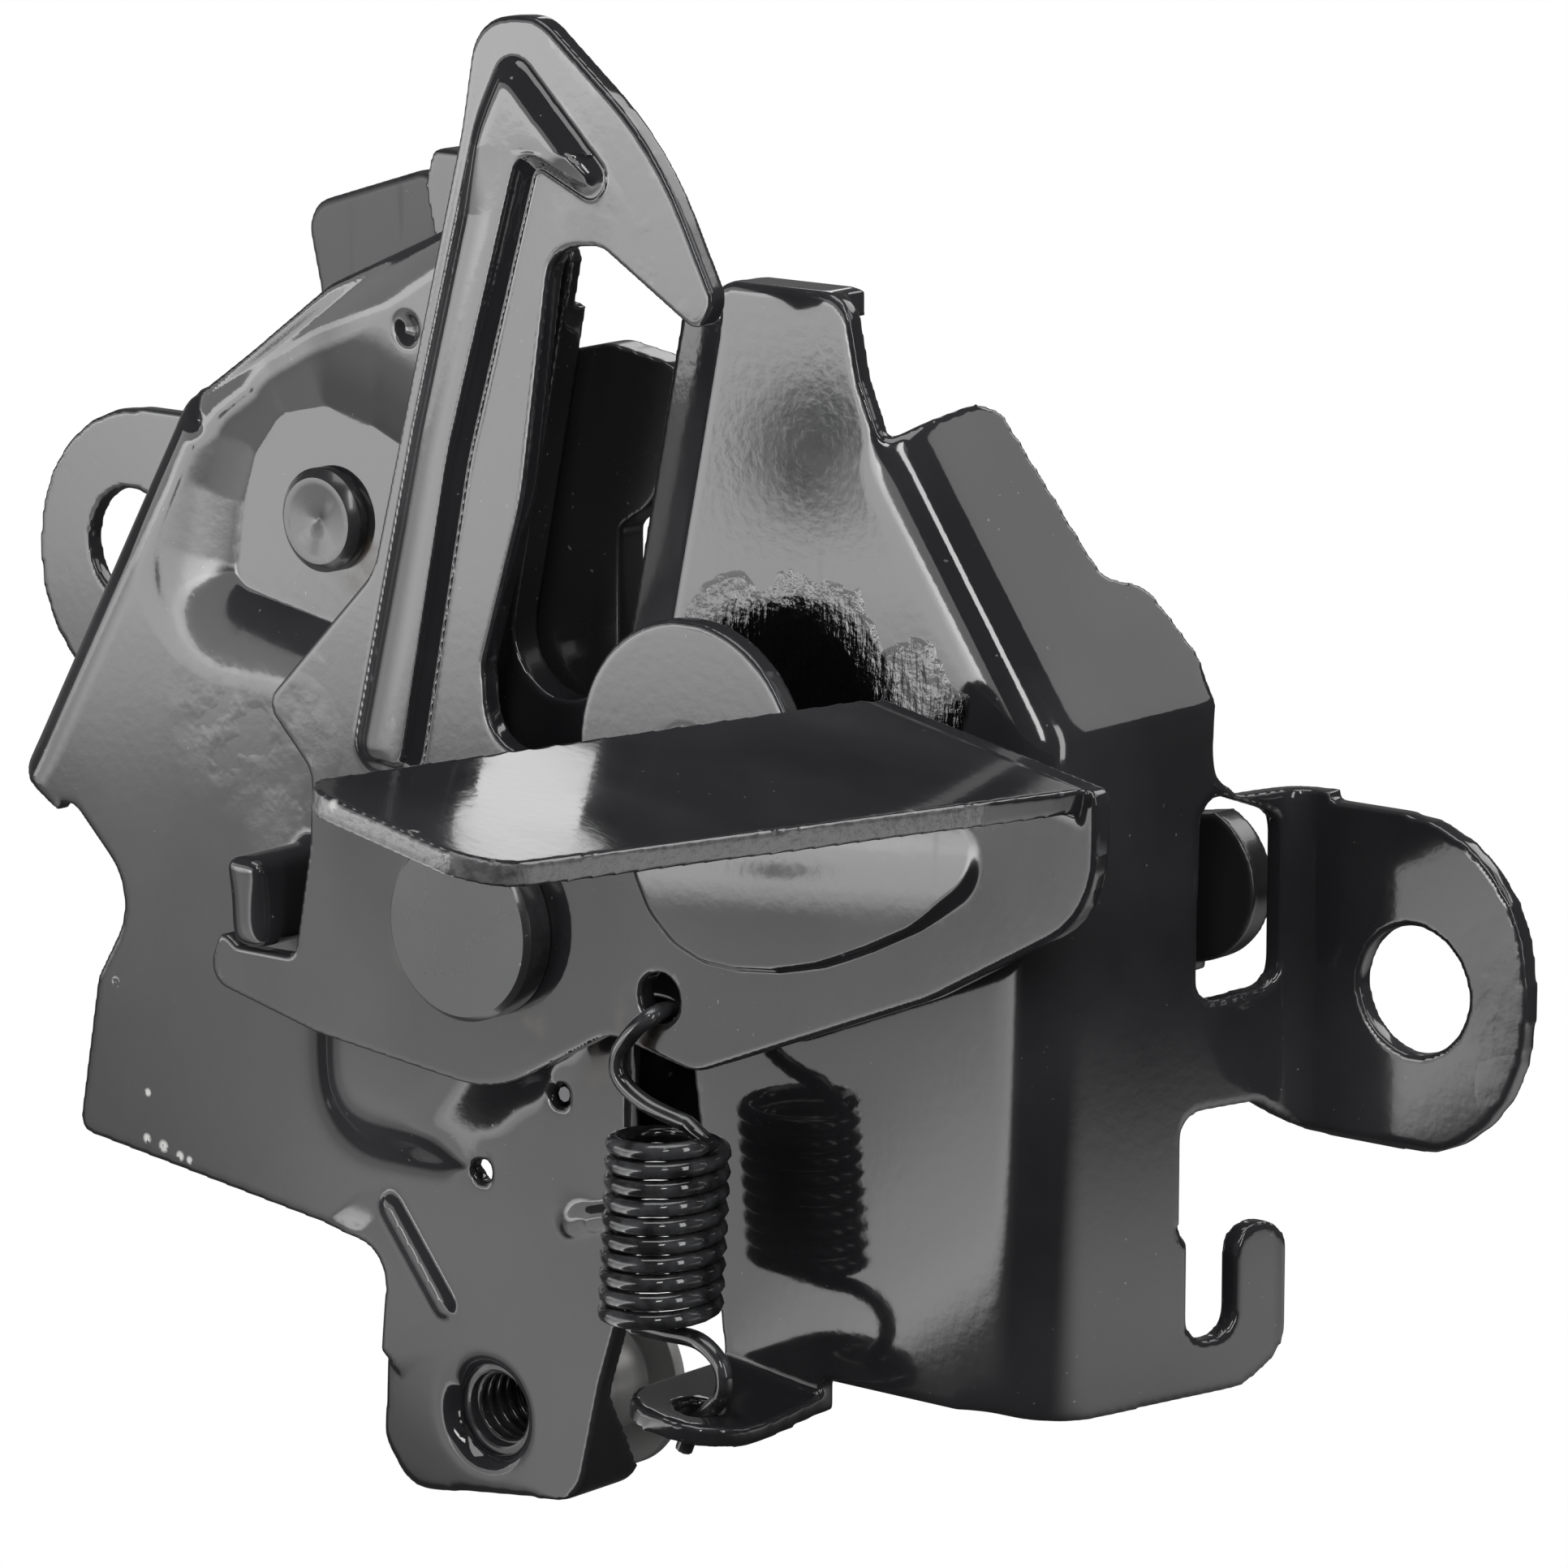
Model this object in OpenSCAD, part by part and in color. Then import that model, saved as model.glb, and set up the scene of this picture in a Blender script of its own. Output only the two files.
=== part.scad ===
// Bonnet latch: a pressed base plate that carries a claw, a pawl and a sprung safety lever.
// Drawn from the safety pivot: its axis meets the front face of the base plate at the drawing's
// origin, +X is to the right and +Z up seen from the front, and +Y runs back towards the car.
// The finished part is moved so that its own origin is the right fixing hole on the rear face.

/* [Base plate] */
// Thickness of the pressed sheet
sheet_t = 1.8; // [1.4:0.1:2.2]
// Depth from the front face to the front of the fixing ears
hat_depth = 26; // [24:0.5:30]
// Outer radius of the main bends
bend_r = 8; // [5:0.5:9]
// Lean of the side walls in degrees
wall_lean = 15; // [12:1:18]
// Right fixing hole, to the right of the pivot
right_hole_x = 75; // [74:0.5:82]
// Right fixing hole, above the pivot
right_hole_z = -0.9; // [-3:0.1:2]
// Distance across the two fixing holes
hole_span = 150; // [149:0.5:162]
// Left fixing hole, above the pivot
left_hole_z = 20.5; // [17:0.5:23]
// Diameter of the two fixing holes
ear_hole_d = 11; // [8:0.5:13]
// Distance from a fixing hole to the end of its ear
ear_end = 11.4; // [11:0.1:16]
// Height of the raised boss behind the safety lever
boss_h = 4.4; // [3:0.1:6]
// Depth of the recessed pad round the claw rivet
pad_depth = 2; // [1:0.1:3]
// Width of the striker slot
slot_w = 11.4; // [9:0.1:13]
// Lean of the striker slot to the right in degrees
slot_lean = 12; // [8:0.5:16]
// Leg thread, below the pivot
leg_drop = 47.2; // [45:0.1:60]
// Reach of the spring tab in front of the plate
tab_reach = 15.5; // [14:0.5:20]

/* [Claw] */
// Thickness of the claw
claw_t = 3.4; // [2.5:0.1:4.5]
// Claw pivot, to the left of the safety pivot
claw_x = 26.6; // [25:0.2:28]
// Claw pivot, above the safety pivot
claw_z = 31.5; // [30:0.2:33]
// Diameter of the bearing under the claw
claw_pin_d = 9; // [7:0.5:10]
// Diameter of the spun heads on the claw rivet
rivet_head_d = 9.4; // [8.6:0.2:11]

/* [Pawl] */
// Thickness of the pawl
pawl_t = 3; // [2:0.1:3.4]
// Outer diameter of the bush that the pawl turns on
pawl_bush_d = 10.4; // [9.6:0.2:11]
// Radius of the rounded cable end
cable_end_r = 7; // [5:0.2:7.2]

/* [Safety lever] */
// Thickness of the lever plate
lever_t = 2; // [1.5:0.1:3]
// Length of the handle in front of the lever
handle_len = 72; // [40:0.5:90]
// Top of the safety hook above the pivot
hook_rise = 79.4; // [78:0.1:90]
// Rise of the handle towards its front in degrees
handle_rise = 4.2; // [0:0.2:8]
// Height of the raised bead on the stem
bead_h = 1.4; // [0.6:0.1:1.8]
// Diameter of the pivot under the lever
stud_d = 10; // [9.6:0.2:11]
// Diameter of the pivot's head
stud_head_d = 16.4; // [14:0.2:19]
// Thickness of the pivot's head
stud_head_t = 3; // [2:0.1:4]
// Thickness of the washer behind the lever
washer_t = 1.2; // [0.8:0.1:2]

/* [Springs] */
// Outer diameter of the safety spring
spring_od = 10.7; // [9:0.1:12]
// Wire diameter of the safety spring
spring_wire = 1.3; // [1:0.1:1.5]
// Number of close turns
spring_turns = 9.5; // [6.5:1:11.5]
// Wire diameter of the two hidden springs
hidden_wire = 1.4; // [1:0.1:1.6]

/* [Leg bush] */
// Core diameter of the leg thread
thread_core_d = 6.8; // [5:0.1:8.5]
// Outer diameter of the bush
bush_d = 10.2; // [9.6:0.2:11]
// Diameter of the flange at its rear end
bush_flange_d = 17; // [15:0.5:24]
// Length of the bush behind the leg
bush_len = 16; // [10:0.5:18]

/* [Hidden] */

$fn = 64;
arc_steps = 6;
through = 60;
black = "#2a2a2d";
steel = "#8b8d90";

// Clearances
side_play = 0.3;
lever_play = 0.15;
running = 0.05;
wire_gap = 0.25;

// Depths, counted back from the front face of the base plate
sheet_back = sheet_t;
pad_back = pad_depth + sheet_t;
claw_front = pad_back + side_play;
claw_back = claw_front + claw_t;
rear_t = sheet_t;
rear_front = claw_back + side_play;
rear_back = rear_front + rear_t;
pawl_front = rear_front - side_play - pawl_t;
pawl_back = pawl_front + pawl_t;
boss_front = -boss_h;
boss_inside = sheet_t - boss_h;
washer_front = boss_front - washer_t;
lever_back = washer_front - lever_play;
lever_front = lever_back - lever_t;
ear_front = hat_depth;
ear_back = hat_depth + sheet_t;

// Bend lines of the walls
wall_slope = tan(wall_lean);
wall_skin = sheet_t / cos(wall_lean);
wall_x = 56;
wall_flat = bend_r * 0.77 + 0.8;
left_hole_x = hole_span - right_hole_x;
left_ear_end = ear_end + 1;
wall_corner = [wall_x, 21.6];
upper_tilt = 34.4;
upper_len = 28.8;
mitre = tan(upper_tilt / 2);
left_top = [-44.4, 40.5];
left_tilt = 30.4;
left_len = 42;
ear_bend_r = 2.5;

// Striker slot and its bent-back edge
slot_foot = [2.8, 24.7];
slot_r = slot_w / 2;
slot_run = 48;
slot_edge_w = 6.2;
slot_edge_drop = pad_depth;
slot_edge_len = 32;
lip_depth = 3.4;
panel_lip_depth = 4.5;
panel_top = 57.3;

// Leg and panel
leg_hole = [-6.9, -leg_drop];
leg_foot_z = -leg_drop - 8.8;
leg_dish_r = 5.2;
leg_lip_depth = 8;
panel_foot = -37;
tab_left = 20.9;
tab_right = 34;
tab_tilt = 7;
tab_hole_d = 3.8;
tab_hole = [27.4, -11];
stop_tab = [-29, -6.1];
stop_tab_size = [4.6, 8.6];
stop_tab_front = lever_front - 2.2;
small_hole_d = 2.1;
small_holes = [[-7.1, -24.9], [2.2, -16.5]];

// Safety lever
spring_hole = [20.4, -3.6];
spring_hole_d = 4.4;
lobe_centre = [23.5, 17.5];
lobe_r = 12;
fold_left = [43.3, 25.1];
fold_tilt = 11.5;
fold_w = 23.2;
handle_taper = 1.6;
emboss_root = 0.4;

// Safety spring axis: top and bottom turn
spring_r = (spring_od - spring_wire) / 2;
spring_top = [22.2, lever_front - 0.9, -15.2];
spring_foot = [22.3, lever_front - 2.2, -30.6];

// Corner and outline helpers
function unit(v) = v / norm(v);
function flat(p) = [p.x, p.y];
function turned(v, a) = [v.x * cos(a) - v.y * sin(a), v.x * sin(a) + v.y * cos(a)];

// Arc that replaces corner b between a and c
function corner(a, b, c, r) =
    let (u = unit(flat(a) - flat(b)), v = unit(flat(c) - flat(b)),
        half = acos(u * v) / 2,
        run = min(r / tan(half), 0.49 * min(norm(flat(a) - flat(b)), norm(flat(c) - flat(b)))),
        rr = run * tan(half),
        centre = flat(b) + unit(u + v) * rr / sin(half),
        start = flat(b) + u * run - centre,
        finish = flat(b) + v * run - centre,
        way = sign(cross(start, finish)))
    [for (k = [0:arc_steps]) centre + turned(start, way * (180 - 2 * half) * k / arc_steps)];

// Outline of [x, z, radius] points with every corner rounded
function outline(pts) =
    let (n = len(pts))
    [for (i = [0:n - 1])
        each (pts[i][2] == undef || pts[i][2] == 0
            ? [flat(pts[i])]
            : corner(pts[(i + n - 1) % n], pts[i], pts[(i + 1) % n], pts[i][2]))];

// The same points moved inwards, for points listed anticlockwise
function inset(pts, d) =
    let (n = len(pts))
    [for (i = [0:n - 1])
        let (a = flat(pts[(i + n - 1) % n]), b = flat(pts[i]), c = flat(pts[(i + 1) % n]),
            u = unit(a - b), v = unit(c - b),
            half = acos(u * v) / 2,
            side = sign(cross(b - a, c - b)),
            r = pts[i][2] == undef ? 0 : pts[i][2])
        let (q = b + unit(u + v) * side * d / sin(half))
        [q.x, q.y, r == 0 ? 0 : max(r - side * d, 0.3)]];

// A flat outline made into a plate between two depths
module sheet(y0, y1) {
    translate([0, y1, 0]) rotate([90, 0, 0]) linear_extrude(y1 - y0) children();
}

// A side-view outline, drawn as depth and height, cut straight across
module side_cut(x0, x1) {
    translate([x0, 0, 0]) rotate([90, 0, 90]) linear_extrude(x1 - x0) children();
}

// A round bar along the depth
module pin(p, y0, y1, d) {
    translate([p.x, y1, p.y]) rotate([90, 0, 0]) cylinder(h = y1 - y0, d = d);
}

// A drawn form with sloping sides: the outline at depth y0, moved in by run at depth y1
module drawn(pts, run, y0, y1) {
    base = outline(pts);
    top = outline(inset(pts, run));
    n = len(base);
    points = concat([for (p = base) [p.x, y0, p.y]], [for (p = top) [p.x, y1, p.y]]);
    sides = [for (i = [0:n - 1]) [i, (i + 1) % n, n + (i + 1) % n, n + i]];
    caps = [[for (i = [n - 1:-1:0]) i], [for (i = [0:n - 1]) n + i]];
    flip = y1 < y0;
    polyhedron(points, [for (f = concat(sides, caps)) flip ? [for (k = [len(f) - 1:-1:0]) f[k]] : f]);
}

// Section of a wall that leaves the front face, leans outwards and may turn out into an ear
function wall_section(depth, ear_w) =
    ear_w == 0
    ? [[-wall_flat, 0], [0, 0, bend_r], [wall_slope * depth, depth],
        [wall_slope * depth - wall_skin, depth],
        [wall_slope * sheet_t - wall_skin, sheet_t, bend_r - sheet_t], [-wall_flat, sheet_t]]
    : [[-wall_flat, 0], [0, 0, bend_r], [wall_slope * depth, depth, ear_bend_r], [ear_w, depth],
        [ear_w, depth + sheet_t],
        [wall_slope * (depth + sheet_t) - wall_skin, depth + sheet_t, ear_bend_r + sheet_t],
        [wall_slope * sheet_t - wall_skin, sheet_t, bend_r - sheet_t], [-wall_flat, sheet_t]];

// A wire of round section swept along points
function sweep_frame(pts, i) =
    let (n = len(pts),
        t = unit(pts[min(i + 1, n - 1)] - pts[max(i - 1, 0)]),
        h = abs(t.y) > 0.85 ? [1, 0, 0] : [0, 1, 0],
        u = unit(cross(h, t)))
    [u, cross(t, u)];
module wire(pts, d, sides = 8) {
    n = len(pts);
    rings = [for (i = [0:n - 1])
        let (f = sweep_frame(pts, i))
        for (k = [0:sides - 1])
            pts[i] + d / 2 * (cos(360 * k / sides) * f[0] + sin(360 * k / sides) * f[1])];
    skin = [for (i = [0:n - 2], k = [0:sides - 1])
        [i * sides + k, (i + 1) * sides + k, (i + 1) * sides + (k + 1) % sides, i * sides + (k + 1) % sides]];
    ends = [[for (k = [0:sides - 1]) k], [for (k = [sides - 1:-1:0]) (n - 1) * sides + k]];
    polyhedron(rings, concat(skin, ends));
}

// Smooth run through hand-set points
function smooth(p, steps) =
    let (n = len(p))
    concat([for (i = [0:n - 2], k = [0:steps - 1])
        let (t = k / steps,
            a = p[max(i - 1, 0)], b = p[i], c = p[i + 1], e = p[min(i + 2, n - 1)])
        0.5 * (2 * b + (c - a) * t + (2 * a - 5 * b + 4 * c - e) * t * t
            + (3 * b - 3 * c + e - a) * t * t * t)], [p[n - 1]]);

// Moves the drawing so that the right fixing hole on the rear face is the origin
module on_datum() {
    translate([-right_hole_x, -ear_back, -right_hole_z]) children();
}

// Base plate

plate_outline = [
    [-60.2, 1.8, 0], [-57.4, 1.6, 2], [-49.6, -5.8, 7], [-54.8, -14.2, 1.5], [-57.6, -29.2, 1.5],
    [-18.4, -34, 4], [-19, leg_foot_z + 10, 2], [-19.4, leg_foot_z + 4.2, 3], [-16.2, leg_foot_z, 4],
    [4.2, leg_foot_z + 2.6, 4], [6.9, -42.1, 0],
    [9.6, -34, 8], [10.4, -6, 3], [16.6, -6, 3], [21, panel_foot, 1], [49.8, panel_foot, 0],
    [50, 18.3, 0], [35.4, 40.4, 0], [38.4, 44.4, 1.5], [35.9, 50.2, 6], [34.4, panel_top, 3],
    [19.4, panel_top, 3], [12, 40], [1, 64.2, 4], [-25, 52.9, 6], [-42.6, 40.8, 2], [-39.8, 36.8, 0]];
boss_outline = [
    [-27, -10, 3], [-27, -26.5, 9], [-8.5, -26.5, 4], [10.4, -6.6, 5], [15.5, 12, 8], [-14, 14, 8],
    [-19, -3, 5]];
pad_outline = [
    [-36.6, 24.2, 2.5], [-18, 20.6, 5], [-14.5, 38, 8], [-25, 43.6, 8], [-36.6, 38, 8]];
panel_top_outline = [
    [19.4, 34], [36, 34], [38.4, 44.4, 2], [35.9, 50.2, 6], [34.4, panel_top, 3], [19.4, panel_top, 3]];
leg_foot_outline = [
    [-18.6, -38], [-19, leg_foot_z + 10, 2], [-19.4, leg_foot_z + 4.2, 3], [-16.2, leg_foot_z, 4],
    [4.2, leg_foot_z + 2.6, 4], [6.9, -42.1, 0], [8.4, -37.6]];

// Right wall seen from the side: depth, height, radius. It ends in the hook that holds the cable.
right_wall_side = [
    [-1, panel_foot], [21, panel_foot + 0.2, 5], [25.2, -34.2, 4], [25.2, -22.4, 2.5], [20, -22.4, 2.5],
    [20, -32, 2.2], [15, -32, 2.2], [15, -23, 1], [14, -22, 1], [14, -11.8, 2.5], [22, -11.8, 0],
    [ear_back + 1, -16], [ear_back + 1, 15], [20, 15, 1.5], [17.4, 17, 1], [18, 26], [-1, 26]];
// Opening for the cable end of the pawl
right_wall_opening = [[15.6, -2.5, 2], [24.2, -1.8, 2], [24.2, 13, 2], [16, 16, 2]];
upper_wall_side = [
    [-1, -6], [18, -6], [18, 4, 3], [16.6, 10.2, 2], [13, 12.4, 2], [11.2, upper_len + 1.4, 3],
    [0, upper_len + 0.8], [-1, upper_len + 0.8]];
left_wall_side = [
    [-1, 0.4], [9, 0.4, 3], [14, 9, 4], [ear_back + 1, 9], [ear_back + 1, left_len + 16],
    [22, left_len + 16], [16, left_len, 0], [-1, left_len]];

module slot_shape(grow) {
    translate(slot_foot) rotate(-slot_lean) {
        circle(r = slot_r + grow);
        translate([-slot_r - grow, 0]) square([2 * (slot_r + grow), slot_run]);
    }
}

module front_sheet() {
    difference() {
        sheet(0, sheet_back) polygon(outline(plate_outline));
        sheet(-1, sheet_back + 1) slot_shape(0);
        // Room for the sloping edge on the right of the slot
        sheet(-1, sheet_back + 1) translate(slot_foot) rotate(-slot_lean)
            square([slot_r + slot_edge_w, slot_run]);
        drawn(inset(boss_outline, sheet_t * 0.4), boss_h * 1.1, sheet_back + 0.01, boss_inside);
        drawn(inset(pad_outline, -0.2), 1.4, -0.01, pad_depth);
    }
}

// Edge of the panel that slopes back beside the slot
module slot_edge() {
    translate([slot_foot.x, 0, slot_foot.y]) rotate([0, slot_lean, 0]) linear_extrude(slot_edge_len)
        polygon([[slot_r, slot_edge_drop], [slot_r + slot_edge_w, 0], [slot_r + slot_edge_w + 0.5, 0],
            [slot_r + slot_edge_w + 0.5, sheet_t], [slot_r + slot_edge_w - 0.2, sheet_t],
            [slot_r, slot_edge_drop + sheet_t]]);
}

// Rolled rim round the foot and left side of the slot
module slot_rim() {
    difference() {
        sheet(0, lip_depth) slot_shape(sheet_t);
        sheet(-1, lip_depth + 1) slot_shape(0);
        sheet(-1, lip_depth + 1) translate(slot_foot) rotate(-slot_lean)
            translate([0, -slot_r * 0.4]) square([through, through]);
        sheet(-1, lip_depth + 1) translate(slot_foot) rotate(-slot_lean)
            translate([-through, slot_edge_len - 4]) square([2 * through, through]);
    }
}

// A rim that follows part of an outline and stands back from it
module rim(pts, depth) {
    difference() {
        sheet(0, depth) polygon(outline(pts));
        sheet(-1, depth + 1) polygon(outline(inset(pts, sheet_t)));
    }
}

module right_wall() {
    ear_top = 14.2;
    ear_foot = -15.3;
    intersection() {
        translate([wall_x, 0, panel_foot - 1]) linear_extrude(66)
            polygon(outline(wall_section(hat_depth, through)));
        sheet(-1, ear_back + 1) union() {
            polygon([[40, panel_foot - 1], [66, panel_foot - 1],
                [66, wall_corner.y + (66 - wall_x) * mitre], [40, wall_corner.y - (wall_x - 40) * mitre]]);
            polygon(outline([[60, ear_foot, 1], [right_hole_x + ear_end, ear_foot, ear_end + 2],
                [right_hole_x + ear_end, ear_top, ear_end + 2], [60, ear_top, 1]]));
        }
        difference() {
            side_cut(30, 120) polygon(outline(right_wall_side));
            side_cut(wall_x, wall_x + 9) polygon(outline(right_wall_opening));
        }
    }
}

module upper_wall() {
    intersection() {
        translate([wall_corner.x, 0, wall_corner.y]) rotate([0, -upper_tilt, 0]) intersection() {
            translate([0, 0, -6]) linear_extrude(upper_len + 10)
                polygon(outline(wall_section(hat_depth - 6, 0)));
            side_cut(-10, 20) polygon(outline(upper_wall_side));
        }
        sheet(-1, hat_depth) polygon([[30, wall_corner.y - (wall_x - 30) * mitre],
            [90, wall_corner.y + (90 - wall_x) * mitre], [90, 90], [30, 90]]);
    }
}

module left_wall() {
    ear_top = left_hole_z + 13.5;
    ear_foot = left_hole_z - 15.6;
    n = [-cos(left_tilt), sin(left_tilt)];
    along = [-sin(left_tilt), -cos(left_tilt)];
    strip = wall_slope * ear_back + 2;
    intersection() {
        translate([left_top.x, 0, left_top.y]) rotate([0, 180 + left_tilt, 0]) intersection() {
            linear_extrude(left_len + 16) polygon(outline(wall_section(hat_depth, through)));
            side_cut(-12, through + 1) polygon(outline(left_wall_side));
        }
        sheet(-1, ear_back + 1) union() {
            polygon([left_top + n * strip, left_top - n * 12,
                left_top - n * 12 + along * left_len, left_top + n * strip + along * left_len]);
            polygon(outline([[-46, ear_top, 0], [-left_hole_x - left_ear_end, ear_top, ear_end + 3],
                [-left_hole_x - left_ear_end, ear_foot, ear_end + 3], [-60, ear_foot, 0]]));
        }
    }
}

module pivot_boss() {
    difference() {
        drawn(boss_outline, boss_h * 1.2, sheet_back * 0.5, boss_front);
        drawn(inset(boss_outline, sheet_t * 0.4), boss_h * 1.1, sheet_back + 0.01, boss_inside);
    }
}

module rivet_pad() {
    difference() {
        drawn(inset(pad_outline, -sheet_t), 1.6, sheet_back * 0.5, pad_back);
        drawn(inset(pad_outline, -0.2), 1.4, -0.01, pad_depth);
    }
}

module spring_tab() {
    translate([tab_left, 0, panel_foot]) rotate([0, tab_tilt, 0]) difference() {
        translate([0, 0, -sheet_t]) linear_extrude(sheet_t)
            polygon(outline([[0, sheet_t], [0, -tab_reach, 5], [tab_right - tab_left, -tab_reach, 7],
                [tab_right - tab_left - 2, sheet_t]]));
        translate([(tab_hole.x - tab_left) / cos(tab_tilt), tab_hole.y, -sheet_t - 1])
            cylinder(h = sheet_t + 2, d = tab_hole_d);
    }
}

module leg_foot() {
    intersection() {
        rim(leg_foot_outline, leg_lip_depth);
        side_cut(-through, through)
            polygon([[0, leg_foot_z - 5], [0, leg_foot_z + 12.8], [sheet_t, leg_foot_z + 12.6],
                [leg_lip_depth + 1, leg_foot_z + 2.6], [leg_lip_depth + 1, leg_foot_z - 5]]);
    }
}

// Short raised rib that stiffens the leg
module dart(a, b) {
    run = b - a;
    translate([a.x, 0.8, a.y]) rotate([0, atan2(run.x, run.y), 0]) {
        cylinder(h = norm(run), r = 1.5);
        sphere(r = 1.5);
        translate([0, 0, norm(run)]) sphere(r = 1.5);
    }
}

module base_plate() color(black) difference() {
    union() {
        front_sheet();
        slot_edge();
        slot_rim();
        right_wall();
        upper_wall();
        left_wall();
        pivot_boss();
        rivet_pad();
        intersection() {
            rim(panel_top_outline, panel_lip_depth);
            sheet(-1, panel_lip_depth + 1) translate([20.6, 53]) square([12.4, 20]);
        }
        leg_foot();
        spring_tab();
        sheet(0, sheet_back) polygon([[tab_left, panel_foot + 1], [tab_left, panel_foot - sheet_t * 0.9],
            [tab_right - 2, panel_foot - sheet_t * 0.9 - (tab_right - 2 - tab_left) * tan(tab_tilt)],
            [tab_right - 2, panel_foot + 1]]);
        sheet(stop_tab_front, sheet_back) polygon(outline([[stop_tab.x, stop_tab.y, 0.8],
            [stop_tab.x + stop_tab_size.x, stop_tab.y, 0.8],
            [stop_tab.x + stop_tab_size.x, stop_tab.y + stop_tab_size.y, 1.4],
            [stop_tab.x, stop_tab.y + stop_tab_size.y, 1.4]]));
        dart([-18, -30], [-11.6, -38]);
        dart([3.4, -28], [8, -26.6]);
    }
    pin([right_hole_x, right_hole_z], ear_front - 1, ear_back + 1, ear_hole_d);
    pin([-left_hole_x, left_hole_z], ear_front - 1, ear_back + 1, ear_hole_d);
    pin([-claw_x, claw_z], -1, pad_back + 1, claw_tenon_d);
    pin([0, 0], boss_front - 1, sheet_back, stud_tenon_d);
    translate([leg_hole.x, sheet_t + 0.01, leg_hole.y]) rotate([90, 0, 0])
        cylinder(h = sheet_t + 0.02, r1 = thread_core_d / 2 + 0.4, r2 = leg_dish_r);
    for (p = small_holes) pin(p, -1, sheet_back + 1, small_hole_d);
    translate([-15.2, -1.3, 49.8]) sphere(r = 2);
}

// Back plate

claw_tenon_d = claw_pin_d - 2.6;
stud_tenon_d = stud_d - 2;
back_outline = [
    [-37, 19, 5], [-12, 9, 6], [-9, -14, 6], [-3, -21, 4], [14, -21, 5], [20, -9, 6], [22, 12, 6],
    [26, 44, 5], [13, 46, 3], [-4.6, 45, 3], [-9, 57, 2], [-20, 62.8, 2], [-34.6, 58.4, 3], [-32.6, 50, 3],
    [-37.4, 40, 4]];
spring_anchor = [-17, 25];

module back_plate() color(black) difference() {
    sheet(rear_front, rear_back) polygon(outline(back_outline));
    sheet(rear_front - 1, rear_back + 1) slot_shape(0.8);
    pin([-claw_x, claw_z], rear_front - 1, rear_back + 1, claw_tenon_d);
    pin([0, 0], rear_front - 1, rear_back + 1, stud_tenon_d);
    pin(spring_anchor, rear_front - 1, rear_back + 1, hidden_wire + 2 * wire_gap);
}

// Claw, standing open with its lower jaw across the slot

claw_outline = [
    [-38.6, 36.4, 1.2], [-36, 24, 8], [-20, 20, 5], [2, 16, 3], [5.9, 20, 2], [5.8, 34, 1.5], [9.5, 36.4, 2],
    [12.6, 42.5, 2], [13, 48.6, 2], [4.5, 50, 4], [-1.5, 48.6, 2], [-6.6, 50, 3], [-7, 56, 3],
    [-7.6, 60, 1.2], [-8.6, 65, 1.6], [-15.6, 65.4, 1.2], [-16.6, 62, 1], [-14.5, 53, 5], [-24, 46, 6], [-33, 41, 5],
    [-35, 38.4, 1.5], [-38.2, 38.6, 1]];

module claw() color(black) difference() {
    sheet(claw_front, claw_back) polygon(outline(claw_outline));
    pin([-claw_x, claw_z], claw_front - 1, claw_back + 1, claw_pin_d + 2 * running);
}

// Claw rivet: a shouldered pin with both ends spun over, and a post for the claw spring behind

rivet_head_t = 1.7;
post_d = 7.6;
post_len = 3 * hidden_wire + 2.4;
post_end = rear_back + post_len;

module claw_rivet() color(black) translate([-claw_x, 0, claw_z]) rotate([-90, 0, 0]) rotate_extrude()
    polygon([[0, pad_depth - rivet_head_t + 0.5], [1, pad_depth - rivet_head_t + 0.3],
        [rivet_head_d / 2 - 0.8, pad_depth - rivet_head_t], [rivet_head_d / 2, pad_depth - rivet_head_t + 0.7],
        [rivet_head_d / 2, pad_depth], [claw_tenon_d / 2, pad_depth], [claw_tenon_d / 2, pad_back],
        [claw_pin_d / 2, pad_back], [claw_pin_d / 2, rear_front], [claw_tenon_d / 2, rear_front],
        [claw_tenon_d / 2, rear_back], [post_d / 2, rear_back], [post_d / 2, post_end],
        [rivet_head_d / 2 + 1.6, post_end], [rivet_head_d / 2 + 1.6, post_end + 0.8],
        [rivet_head_d / 2 + 0.6, post_end + 1.6], [0, post_end + 1.6]]);

// Claw spring: three turns round the post, one leg in the back plate, the other on the claw's tail

coil_r = post_d / 2 + hidden_wire / 2 + wire_gap;
coil_start = rear_back + hidden_wire / 2 + 0.3;
claw_coil_end = coil_start + 2.75 * (hidden_wire + 0.1);

module claw_spring() color(steel) {
    c = [-claw_x, 0, claw_z];
    turn_from = -20;
    turn_to = 810;
    turns = [for (k = [0:28]) let (a = turn_from + (turn_to - turn_from) * k / 28)
        c + [coil_r * cos(a), coil_start + (claw_coil_end - coil_start) * k / 28, coil_r * sin(a)]];
    fixed = [[spring_anchor.x, rear_front + 0.4, spring_anchor.y], [spring_anchor.x, coil_start - 0.2, spring_anchor.y],
        [spring_anchor.x - 1, coil_start, spring_anchor.y + 0.9]];
    over_tail = claw_front + claw_t / 2;
    tail = [c + [-4, claw_coil_end, coil_r + 0.3], c + [-11.6, claw_coil_end, coil_r + 1.2],
        c + [-13.1, claw_coil_end - 1, coil_r + 1.9], c + [-13.2, rear_back, coil_r + 2.8],
        c + [-13, claw_back + 0.4, 8.1], c + [-12, over_tail, 8.1], c + [-10.4, over_tail, 8.05]];
    wire(concat(smooth(fixed, 3), turns, smooth(tail, 3)), hidden_wire);
}

// Pawl: hook nose beside the claw, arm stepped back to the cable end

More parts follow.
